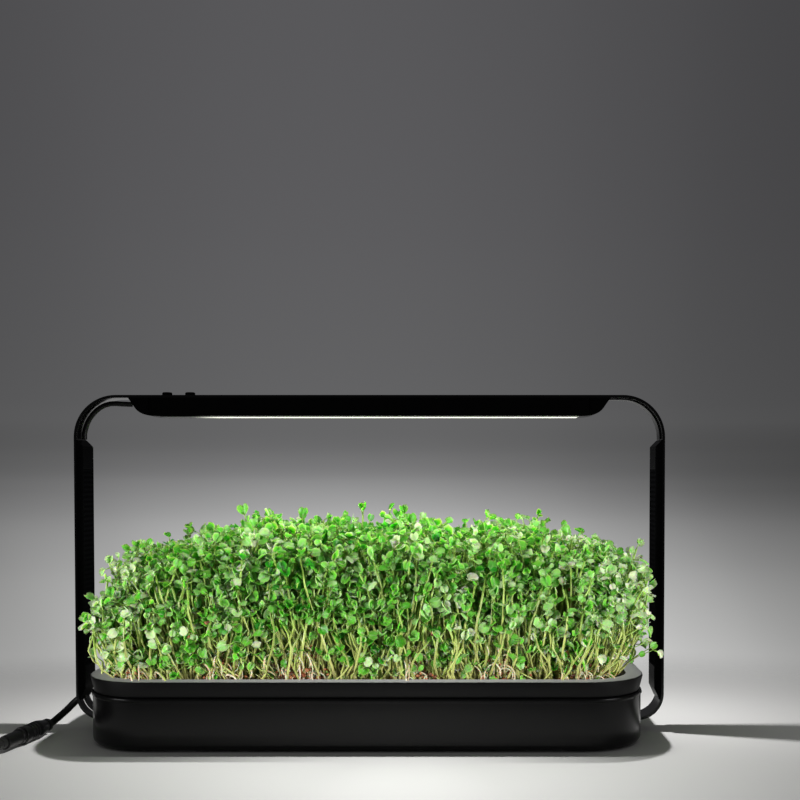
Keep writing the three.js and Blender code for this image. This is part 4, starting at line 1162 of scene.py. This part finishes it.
def head_template(kind, crop):
    """A pair of seed leaves on short stalks, opened to its own angle"""
    rng = random.Random(HEAD_SEED + kind)
    bm = bmesh.new()
    reach = bm.verts.layers.float.new("reach")
    rise = math.radians(rng.choice((-5, 10, 22, 35, 50, 65)) + rng.uniform(-6, 6))
    for side in (1, -1):
        size = rng.uniform(0.72, 1.12)
        stalk_rise = rise + math.radians(rng.uniform(10, 30))
        stalk = Vector((side * math.cos(stalk_rise), 0, math.sin(stalk_rise))) * rng.uniform(2.5, 4.5) * MM
        stalk_verts = sweep(bm, [Vector((0, 0, 0)), stalk], STALK_RADII, 3)
        for vert in stalk_verts:
            vert[reach] = 1.0
            for face in vert.link_faces:
                face.material_index = 1
        turn = Matrix.Rotation(0 if side > 0 else math.pi, 4, "Z")
        pose = (
            Matrix.Translation(stalk)
            @ turn
            @ Matrix.Rotation(-rise + math.radians(rng.uniform(-14, 14)), 4, "Y")
            @ Matrix.Rotation(math.radians(rng.gauss(0, 24)), 4, "X")
        )
        add_leaf(
            bm, reach, pose, crop.leaf_length * size, crop.leaf_width * size, rng.uniform(0.0, 0.55),
            rng.uniform(-0.2, 0.5), rng,
        )
    return template_mesh(bm, f"head_{kind}")


def curl_template(kind, crop):
    """A fallen or curled pale stem that lies near the bed"""
    rng = random.Random(CURL_SEED + kind)
    bm = bmesh.new()
    reach = bm.verts.layers.float.new("reach")
    length = rng.uniform(16, 30) * MM
    place = Vector((0, 0, 0))
    yaw = 0.0
    pitch = math.radians(rng.uniform(35, 80))
    yaw_step = math.radians(rng.uniform(8, 26)) * rng.choice((-1, 1))
    pitch_step = math.radians(rng.uniform(14, 30))
    points = [place.copy()]
    for _ in range(CURL_STEPS):
        level = math.cos(pitch)
        heading = Vector((level * math.cos(yaw), level * math.sin(yaw), math.sin(pitch)))
        place = place + heading * length / CURL_STEPS
        points.append(place.copy())
        yaw += yaw_step
        pitch -= pitch_step
    foot = crop.stem_diameter / 2
    sweep(bm, points, [foot * (0.85 - 0.05 * step) for step in range(CURL_STEPS + 1)], 3)
    for vert in bm.verts:
        vert[reach] = 0.1
    return template_mesh(bm, f"curl_{kind}")


def hull_template():
    bm = bmesh.new()
    reach = bm.verts.layers.float.new("reach")
    bmesh.ops.create_icosphere(bm, subdivisions=1, radius=HULL_RADIUS)
    bmesh.ops.scale(bm, vec=HULL_SHAPE, verts=bm.verts)
    for vert in bm.verts:
        vert[reach] = 0.0
    return template_mesh(bm, "hull")


def canopy_height(crop, x, y, half):
    """Height of the leaves over the bed: level in the middle, lower at both ends"""
    along = abs(x) / half.x
    deep = abs(y) / half.y
    clumps = noise.noise(Vector((x, y, half.z)) / CLUMP_SIZE) * CLUMP_RISE
    tufts = noise.noise(Vector((x, y, half.x)) / TUFT_SIZE) * TUFT_RISE
    near_end = max(along - 0.5, 0) / 0.5
    if x < 0:
        end_drop = LEFT_SLOPE * near_end + LEFT_SHOULDER * near_end**4 + LEFT_BRINK * near_end**20
    else:
        end_drop = RIGHT_SLOPE * near_end + RIGHT_SHOULDER * near_end**5
    return crop.canopy * (1 - end_drop - BACK_DROP * deep**4) + clumps + tufts


def bar_reach(y):
    """How far out leaves may reach at a depth: less beside the side bars"""
    inside = abs(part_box("left_diffuser")[1][0]) - BAR_CLEARANCE
    return inside - (BAR_ROOM if abs(y) < BAR_HALF_DEPTH else 0)


def sprout_tone(rng, root, half):
    """Mostly mid green, with some pale and some dark, and paler in patches and at both ends"""
    patch = noise.noise(root / CLUMP_SIZE * 1.7)
    tone = rng.gauss(0.44, 0.15) + 0.22 * patch + 0.36 * abs(root.x / half.x) ** 4
    chance = rng.random()
    if chance < PALE_CHANCE:
        tone += TONE_STEP
    elif chance > 1 - DARK_CHANCE:
        tone -= TONE_STEP
    return min(max(tone, 0.0), 1.0)


class Bed:
    """Where sprouts may root, and what grows there"""

    def __init__(self, crop, rng):
        self.crop = crop
        self.rng = rng
        low, high = (Vector(corner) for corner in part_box("grow_pad"))
        self.low = low + Vector((BED_INSET, BED_INSET, 0))
        self.high = high - Vector((BED_INSET, BED_INSET, 1 * MM))
        self.half = (self.high - self.low) / 2
        self.stems = [stem_template(kind, crop) for kind in range(STEM_KINDS)]
        self.pairs = [head_template(kind, crop) for kind in range(HEAD_KINDS)]
        self.rows = {f"{row}_{side}": Planting() for row in ("front", "middle", "back") for side in SIDES}
        self.heads = []

    def row_of(self, root):
        side = "left" if root.x < 0 else "right"
        row = "front" if root.y < -self.half.y / 2 else "back" if root.y > self.half.y / 4 else "middle"
        return self.rows[f"{row}_{side}"]

    def inside(self, place):
        return inside_mat(place, (self.low, self.high)) > 1 * MM

    def scattered(self, count):
        """Rooting places on a jittered grid all over the bed"""
        pitch = math.sqrt(4 * self.half.x * self.half.y / count)
        columns = round(2 * self.half.x / pitch)
        rows = round(2 * self.half.y / pitch)
        for column in range(columns):
            for row in range(rows):
                x = self.low.x + (column + self.rng.uniform(0.1, 0.9)) * 2 * self.half.x / columns
                y = self.low.y + (row + self.rng.uniform(0.1, 0.9)) * 2 * self.half.y / rows
                place = Vector((x, y, self.high.z))
                if self.inside(place):
                    yield place

    def near_rim(self, band):
        """A rooting place near the bed's rim: mostly at the front, and at both ends"""
        rng = self.rng
        while True:
            chance = rng.random()
            if chance < END_CHANCE:
                x = rng.choice((self.low.x, self.high.x))
                x -= math.copysign(rng.random() ** 1.3 * END_BAND * band, x)
                y = rng.uniform(self.low.y, self.high.y)
            else:
                x = rng.uniform(self.low.x, self.high.x)
                y = self.low.y if chance < FRONT_CHANCE else self.high.y
                y -= math.copysign(rng.random() ** 1.3 * band, y)
            place = Vector((x, y, self.high.z))
            if self.inside(place):
                return place

    def in_cluster(self):
        """A place in one of the heaps of hulls and roots along the front rim"""
        rng = self.rng
        x = rng.choice(CLUSTER_PLACES) + rng.gauss(0, CLUSTER_SIZE)
        place = Vector((min(max(x, self.low.x), self.high.x), 0, self.high.z))
        side = (abs(place.x) - (self.half.x - MAT_CORNER)) / MAT_CORNER
        rim = MAT_CORNER * (1 - math.sqrt(max(1 - max(side, 0) ** 2, 0)))
        place.y = max(self.low.y + rim + rng.gauss(-0.5, 0.25) * CLUSTER_SIZE, self.low.y - CLUSTER_REACH)
        place.z += CLUSTER_LIFT + rng.random() ** 1.6 * CLUSTER_RISE
        return place

    def near_cluster(self, root):
        """Whether a root stands behind one of the heaps at the front rim"""
        at_front = root.y < -self.half.y / 2
        return at_front and any(abs(root.x - place) < 0.6 * CLUSTER_SIZE for place in CLUSTER_PLACES)

    def depth(self, root):
        """How far inside the rim's band a root is, up to one"""
        return min(inside_mat(root, (self.low, self.high)) / RIM_BAND, 1)

    def outwards(self, root):
        """How near a root is to each rim, from zero in the middle to one, with its sign"""
        end = max(abs(root.x) / self.half.x - 0.72, 0) / 0.28
        return Vector((math.copysign(end, root.x), math.copysign((root.y / self.half.y) ** 2, root.y), 0))

    def plant(self, root, head, tilt, tone=None):
        """One sprout from its root to its head, its leaves tilted outwards"""
        rng = self.rng
        limit = bar_reach(head.y)
        head.x = min(max(head.x, LEFT_GAP - limit), limit)
        rise = head - root
        lean = Matrix.Identity(4)
        for axis in range(3):
            lean[axis][2] = rise[axis] / STEM_LENGTH
        row = self.row_of(root)
        spin = Matrix.Rotation(rng.uniform(0, TAU), 4, "Z")
        row.add(rng.choice(self.stems), Matrix.Translation(root) @ lean @ spin, rng.uniform(0.15, 1.0))
        angle = min(tilt.length, 1.5)
        turned = Quaternion((-tilt.y, tilt.x, 0), angle) if angle > 0.01 else Quaternion()
        loose = Quaternion((rng.gauss(0, 1), rng.gauss(0, 1), 0.1), rng.gauss(0, 0.5))
        pose = Matrix.Translation(head) @ (turned @ loose).to_matrix().to_4x4()
        pose = pose @ Matrix.Rotation(rng.uniform(0, TAU), 4, "Z")
        pose = pose @ Matrix.Scale(rng.uniform(*HEAD_SIZES), 4)
        row.add(rng.choice(self.pairs), pose, sprout_tone(rng, root, self.half) if tone is None else tone)
        self.heads.append(head)

    def grow_inside(self):
        """The dense stand that carries the canopy"""
        rng = self.rng
        for root in self.scattered(self.crop.count):
            out = self.outwards(root)
            tall = rng.random() < TALL_CHANCE
            share = 1 - 0.13 * rng.random() ** 1.3 if tall else rng.uniform(0.6, 0.87)
            if root.y < 0:
                share *= 0.86 + 0.14 * self.depth(root)
            height = canopy_height(self.crop, root.x, root.y, self.half) * share
            lean = Vector((out.x * 20 + rng.gauss(0, 4.5), out.y * 12 + rng.gauss(0, 4), 0)) * MM
            self.plant(root, root + lean + Vector((0, 0, height)), out * rng.uniform(0.1, 1.0))

    def grow_rims(self):
        """Sprouts of all heights that lean out and cover the stand's sides with leaves"""
        rng = self.rng
        for _ in range(self.crop.rim_count):
            root = self.near_rim(RIM_BAND)
            out = self.outwards(root)
            depth = self.depth(root)
            if rng.random() < HIGH_RIM_CHANCE or self.near_cluster(root):
                share = rng.uniform(0.46, 0.76 + 0.23 * depth)
            else:
                share = rng.uniform(0.16, 0.5)
            height = canopy_height(self.crop, root.x, root.y, self.half) * share
            swell = math.sin(math.pi * min(share + 0.1, 1) ** 1.3) * 0.6 + 0.4
            lean = Vector((out.x * 24 * swell, out.y * 13 * swell, 0)) * rng.uniform(0.5, 1.15)
            lean += Vector((rng.gauss(0, 5.5), rng.gauss(0, 2.5), 0))
            lean += out.normalized() * depth * RIM_BAND / MM * rng.uniform(0.2, 0.9)
            tilt = out.normalized() * rng.uniform(0.0, 1.05) if out.length > 0.1 else out
            self.plant(root, root + lean * MM + Vector((0, 0, height)), tilt)

    def grow_low(self):
        """Small late leaves close to the mat"""
        rng = self.rng
        for _ in range(LOW_LEAVES):
            root = self.near_rim(RIM_BAND * 0.8)
            if self.near_cluster(root):
                continue
            out = self.outwards(root)
            rise = Vector((out.x * 7 + rng.gauss(0, 4), out.y * 4 + rng.gauss(0, 3), rng.uniform(7, 26)))
            self.plant(root, root + rise * MM, out.normalized() * rng.uniform(0.2, 1.3))

    def grow_sprigs(self):
        """A few tall ones over the canopy, and strays that hang out at both ends"""
        rng = self.rng
        for x, rise in SPRIG_RISES.items():
            for _ in range(2):
                root = Vector((x + rng.gauss(0, 3) * MM, rng.uniform(-12, 20) * MM, self.high.z))
                height = canopy_height(self.crop, x, root.y, self.half) + rng.uniform(0.7, 1) * rise
                head = root + Vector((rng.gauss(0, 3) * MM, 0, height))
                self.plant(root, head, Vector((0, -rng.uniform(0.4, 1.2), 0)), rng.uniform(0.1, 0.3))
        for side in (-1, 1):
            for index in range(STRAYS_PER_END):
                share = 0.2 + 0.65 * (index + rng.random()) / STRAYS_PER_END
                y = -rng.uniform(0.35, 0.95) * self.half.y
                root = Vector((side * (self.half.x - rng.uniform(6, 14) * MM), y * 0.8, self.high.z))
                out = (1 if side > 0 else 0.3) * rng.uniform(0.6, 1) * STRAY_REACH
                height = share * self.crop.canopy
                head = Vector((root.x + side * (out + 6 * MM), y - 4 * MM, root.z + height))
                self.plant(root, head, Vector((side * rng.uniform(0.3, 1.1), -0.4, 0)))

    def grow_top(self):
        """Single sprouts that stand out of the canopy"""
        rng = self.rng
        for _ in range(STRAYS_ON_TOP):
            x = rng.uniform(-0.85, 0.85) * self.half.x
            y = rng.uniform(-0.3, 0.9) * self.half.y
            root = Vector((x, y, self.high.z))
            height = canopy_height(self.crop, x, y, self.half) + rng.uniform(2, 8) * MM
            head = root + Vector((rng.gauss(0, 4) * MM, rng.gauss(0, 4) * MM, height))
            self.plant(root, head, Vector((0, -rng.uniform(0, 1), 0)), rng.uniform(0.1, 0.6))


class GROWKIT_OT_crop(bpy.types.Operator):
    """Plant the sprouts, hulls and roots in the tray"""

    bl_idname = "growkit.crop"
    bl_label = "Crop"

    def execute(self, context):
        crop = settings("crop")
        rng = random.Random(CROP_SEED)
        bed = Bed(crop, rng)
        bed.grow_inside()
        bed.grow_rims()
        bed.grow_low()
        bed.grow_sprigs()
        bed.grow_top()
        finishes = [leaf_finish(), stem_finish()]
        pieces = [row.finish(f"sprouts_{label}", finishes) for label, row in bed.rows.items()]
        for piece in pieces:
            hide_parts("sprouts")

        litter = Planting()
        hull = hull_template()
        for index in range(crop.hulls):
            if index % 8 == 0:
                place = rng.choice(bed.heads) + Vector((0, 0, -2 * MM))
            elif index % 8 < 5:
                place = bed.in_cluster()
            else:
                place = bed.near_rim(RIM_BAND)
                place.z += rng.random() ** 2 * LITTER_RISE
            for _ in range(rng.choice((1, 1, 2, 3))):
                place = place + Vector((rng.gauss(0, 1.6), rng.gauss(0, 1.2), rng.uniform(0, 1))) * MM
                spin = Quaternion((rng.gauss(0, 1), rng.gauss(0, 1), rng.gauss(0, 1)), rng.uniform(0, TAU))
                pose = Matrix.Translation(place) @ spin.to_matrix().to_4x4()
                litter.add(hull, pose @ Matrix.Scale(rng.uniform(*HULL_SIZES), 4), rng.random())
        pieces.append(litter.finish("seed_hulls", [hull_finish()]))

        tangle = Planting()
        curls = [curl_template(kind, crop) for kind in range(CURL_KINDS)]
        for index in range(ROOTS):
            place = bed.near_rim(RIM_BAND) if index % 2 else bed.in_cluster()
            pose = Matrix.Translation(place) @ Matrix.Rotation(rng.uniform(0, TAU), 4, "Z")
            tangle.add(rng.choice(curls), pose @ Matrix.Scale(rng.uniform(*ROOT_SIZES), 4), rng.random())
        pieces.append(tangle.finish("root_tangle", [root_finish()]))

        for piece in pieces:
            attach(piece, "tray")
        for template in [mesh for mesh in bpy.data.meshes if mesh.users == 0]:
            bpy.data.meshes.remove(template)
        return {"FINISHED"}


# Stage


FLOOR_RADIUS = 1.2
FLOOR_SIDES = 96
FLOOR_STRETCH = 1.75
FLOOR_GAP = 0.1 * MM
MIRRORED_DIMMING = 0.8
LAMP_PLACE = Vector((1.35, -0.95, 0.3))
LAMP_SIZE = (0.6, 0.5)
LAMP_AIM = Vector((0, 0, 0.1))
GROW_LIGHT_WIDTH = 8 * MM
GROW_LIGHT_GAP = 0.3 * MM
SIDE_LIGHT_PLACES = (Vector((-80.0, 5.0, -8.0)) * MM, Vector((110.0, 12.0, -8.0)) * MM)
SIDE_LIGHT_SIZE = 12 * MM
SIDE_LIGHT_TILT = math.radians(65)
SIDE_LIGHT_TURN = 0.35
POOL_LIGHT_PLACE = Vector((26.0, -45.0, -6.0)) * MM
POOL_LIGHT_AIM = Vector((26.0, -260.0, 0.0)) * MM
POOL_LIGHT_SIZE = (120 * MM, 8 * MM)
POOL_LIGHT_SPREAD = math.radians(110)
CROP_NAMES = ("sprouts_", "seed_hulls", "root_tangle")


def floor_finish():
    """Pale floor that fades into the backdrop away from the kit"""
    stage = settings("stage")
    values = {"Roughness": 0.6, "Specular IOR Level": 0.2, "Base Color": (*stage.floor, 1)}
    material, tree, shader = start_material("Studio floor", values)
    place = object_place(tree, (1 / FLOOR_STRETCH, 1, 1))
    far = add_node(tree, "VectorMath", {0: place}, operation="LENGTH").outputs["Value"]
    faded = (stage.floor_reach, stage.floor_reach + stage.floor_fade)
    set_inputs(tree, shader, {"Alpha": map_range(tree, far, faded, (1.0, 0.0), "SMOOTHSTEP")})
    return material


def world_light(ambient):
    """Even light on the object; the camera and what is mirrored from behind see a studio backdrop"""
    world = bpy.data.worlds.new("Studio")
    bpy.context.scene.world = world
    world.use_nodes = True
    tree = world.node_tree
    tree.nodes.clear()
    place = axes(tree, "Generated")
    rise = place["Z"]

    # Bright towards the floor, dark above it
    backdrop = colour_ramp(
        tree, map_range(tree, rise, (-0.25, 0.45)),
        [
            (0.0, (0.8, 0.8, 0.79)),
            (0.15, (0.76, 0.76, 0.75)),
            (0.24, (0.63, 0.63, 0.625)),
            (0.305, (0.445, 0.445, 0.445)),
            (0.357, (0.25, 0.25, 0.252)),
            (0.394, (0.152, 0.152, 0.154)),
            (0.45, (0.126, 0.126, 0.129)),
            (0.66, (0.108, 0.107, 0.112)),
            (1.0, (0.096, 0.095, 0.1)),
        ],
        "CARDINAL",
    )

    # A pool of light a little left of the middle, weaker higher up
    off_middle = calculated(
        tree, "SUBTRACT", place["X"], map_range(tree, rise, (-0.17, 0.0), (-0.02, -0.1))
    )
    pool = colour_ramp(
        tree, calculated(tree, "ABSOLUTE", off_middle),
        [
            (0.0, (1.0, 1.0, 1.0)),
            (0.1, (0.91, 0.91, 0.91)),
            (0.2, (0.69, 0.69, 0.69)),
            (0.3, (0.44, 0.44, 0.44)),
            (0.4, (0.28, 0.28, 0.28)),
            (0.5, (0.27, 0.27, 0.27)),
            (0.75, (0.8, 0.8, 0.8)),
        ],
        "CARDINAL",
    )
    fuller_above = map_range(tree, rise, (-0.15, 0.0), (0.75, 1.0))
    weaker_above = map_range(tree, rise, (-0.01, 0.05), (1.0, 0.42))
    contrast = calculated(tree, "MULTIPLY", fuller_above, weaker_above)
    strength = calculated(tree, "POWER", pool, contrast)
    seen = add_node(tree, "Background", {"Color": backdrop, "Strength": strength})

    path = add_node(tree, "LightPath").outputs
    glossy = path["Is Glossy Ray"]
    reflected = calculated(tree, "MULTIPLY_ADD", glossy, -MIRRORED_DIMMING * ambient, ambient)
    even = add_node(tree, "Background", {"Color": (1, 1, 1, 1), "Strength": reflected})
    behind = calculated(tree, "MULTIPLY", glossy, map_range(tree, place["Y"], (0.3, 0.9), (0, 0.8)))
    direct = calculated(tree, "MAXIMUM", path["Is Camera Ray"], path["Is Transmission Ray"])
    shown = calculated(tree, "MAXIMUM", direct, behind)
    shaders = {0: shown, 1: even.outputs["Background"], 2: seen.outputs["Background"]}
    mix = add_node(tree, "MixShader", shaders)
    add_node(tree, "OutputWorld", {"Surface": mix.outputs["Shader"]})


def area_lamp(name, place, aim, size, power):
    data = bpy.data.lights.new(name, "AREA")
    data.shape = "RECTANGLE"
    data.size, data.size_y = size
    data.energy = power
    lamp = link(name, data)
    lamp.location = place
    lamp.rotation_euler = (Vector(aim) - Vector(place)).to_track_quat("-Z", "Y").to_euler()
    return lamp


def chosen(name, pieces, state):
    """A collection of pieces that a lamp takes in or leaves out"""
    group = bpy.data.collections.new(name)
    for piece in pieces:
        group.objects.link(piece)
    for entry in group.collection_objects:
        entry.light_linking.link_state = state
    return group


def hide_lamp(lamp):
    lamp.visible_camera = False
    lamp.visible_glossy = False


def light_floor_only(lamp, floor, blockers):
    """Part of the top bar's light that only the floor takes, with shadows of the hard pieces"""
    hide_lamp(lamp)
    lamp.light_linking.receiver_collection = floor
    lamp.light_linking.blocker_collection = blockers


class GROWKIT_OT_stage(bpy.types.Operator):
    """Lay the floor and set the lamps and the world"""

    bl_idname = "growkit.stage"
    bl_label = "Stage"

    def execute(self, context):
        stage = settings("stage")
        bm = bmesh.new()
        bmesh.ops.create_circle(bm, cap_ends=True, segments=FLOOR_SIDES, radius=FLOOR_RADIUS)
        floor = link("studio_floor", mesh_from(bm, "studio_floor"))
        floor.location.z = -FLOOR_GAP
        floor.data.materials.append(floor_finish())
        crop = [piece for piece in bpy.data.objects if piece.name.startswith(CROP_NAMES)]
        only_crop = chosen("Only the crop", crop, "INCLUDE")
        no_crop = chosen("All but the crop", crop, "EXCLUDE")
        no_floor = chosen("All but the floor", [floor], "EXCLUDE")
        hard_pieces = chosen("All but the crop and the floor", [*crop, floor], "EXCLUDE")
        only_floor = chosen("Only the floor", [floor], "INCLUDE")
        low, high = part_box("top_led_board")
        middle = (low[0] + high[0]) / 2
        under_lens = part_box("top_diffuser")[0][2] - GROW_LIGHT_GAP
        place = POOL_LIGHT_PLACE + Vector((0, 0, under_lens))
        lamp = area_lamp("Pool light", place, POOL_LIGHT_AIM, POOL_LIGHT_SIZE, stage.pool_light)
        lamp.data.spread = POOL_LIGHT_SPREAD
        light_floor_only(lamp, only_floor, no_crop)
        for label, side, offset in zip(("Left", "Right"), (-1, 1), SIDE_LIGHT_PLACES):
            place = Vector((middle, 0, under_lens)) + offset
            out, down = side * math.sin(SIDE_LIGHT_TILT), -math.cos(SIDE_LIGHT_TILT)
            aim = place + Vector((out, SIDE_LIGHT_TURN, down))
            size = (SIDE_LIGHT_SIZE, SIDE_LIGHT_SIZE)
            lamp = area_lamp(f"{label} floor light", place, aim, size, stage.side_light)
            light_floor_only(lamp, only_floor, no_crop)
            place = (side * LAMP_PLACE.x, LAMP_PLACE.y, LAMP_PLACE.z)
            lamp = area_lamp(f"{label} lamp", place, LAMP_AIM, LAMP_SIZE, stage.front_lamps)
            lamp.light_linking.receiver_collection = no_floor
            lamp = area_lamp(f"{label} crop lamp", place, LAMP_AIM, LAMP_SIZE, stage.crop_lamps)
            lamp.light_linking.receiver_collection = only_crop
        for label, power, lit in (
            ("Grow light", stage.grow_light, hard_pieces),
            ("Crop grow light", stage.crop_light, only_crop),
        ):
            lamp = area_lamp(
                label, (middle, 0, under_lens), (middle, 0, 0), (high[0] - low[0], GROW_LIGHT_WIDTH), power
            )
            hide_lamp(lamp)
            lamp.light_linking.receiver_collection = lit
            if lit == hard_pieces:
                lamp.light_linking.blocker_collection = no_crop
        world_light(stage.ambient)
        context.scene.view_settings.view_transform = "Standard"
        return {"FINISHED"}


OPERATORS = [
    GROWKIT_OT_camera,
    GROWKIT_OT_cords,
    GROWKIT_OT_strip,
    GROWKIT_OT_light_bars,
    GROWKIT_OT_controls,
    GROWKIT_OT_bowl,
    GROWKIT_OT_tray,
    GROWKIT_OT_growing_mat,
    GROWKIT_OT_crop,
    GROWKIT_OT_stage,
]


class GROWKIT_PT_panel(bpy.types.Panel):
    """The kit's settings and the steps that make it"""

    bl_idname = "GROWKIT_PT_panel"
    bl_label = "Grow Kit"
    bl_space_type = "VIEW_3D"
    bl_region_type = "UI"
    bl_category = "Grow Kit"

    def draw(self, context):
        for name, group in GROUPS.items():
            column = self.layout.column(heading=group.__doc__)
            for key in group.__annotations__:
                column.prop(settings(name), key)
        for operator in OPERATORS:
            self.layout.operator(operator.bl_idname)


CLASSES = [*GROUPS.values(), *OPERATORS, GROWKIT_PT_panel]


def register():
    for item in CLASSES:
        bpy.utils.register_class(item)
    for name, group in GROUPS.items():
        setattr(bpy.types.Scene, f"grow_kit_{name}", bpy.props.PointerProperty(type=group))


def unregister():
    for name in GROUPS:
        delattr(bpy.types.Scene, f"grow_kit_{name}")
    for item in reversed(CLASSES):
        bpy.utils.unregister_class(item)


def main():
    register()
    for operator in OPERATORS:
        step = operator.bl_idname.split(".")[1]
        getattr(bpy.ops.growkit, step)()


if __name__ == "__main__":
    main()
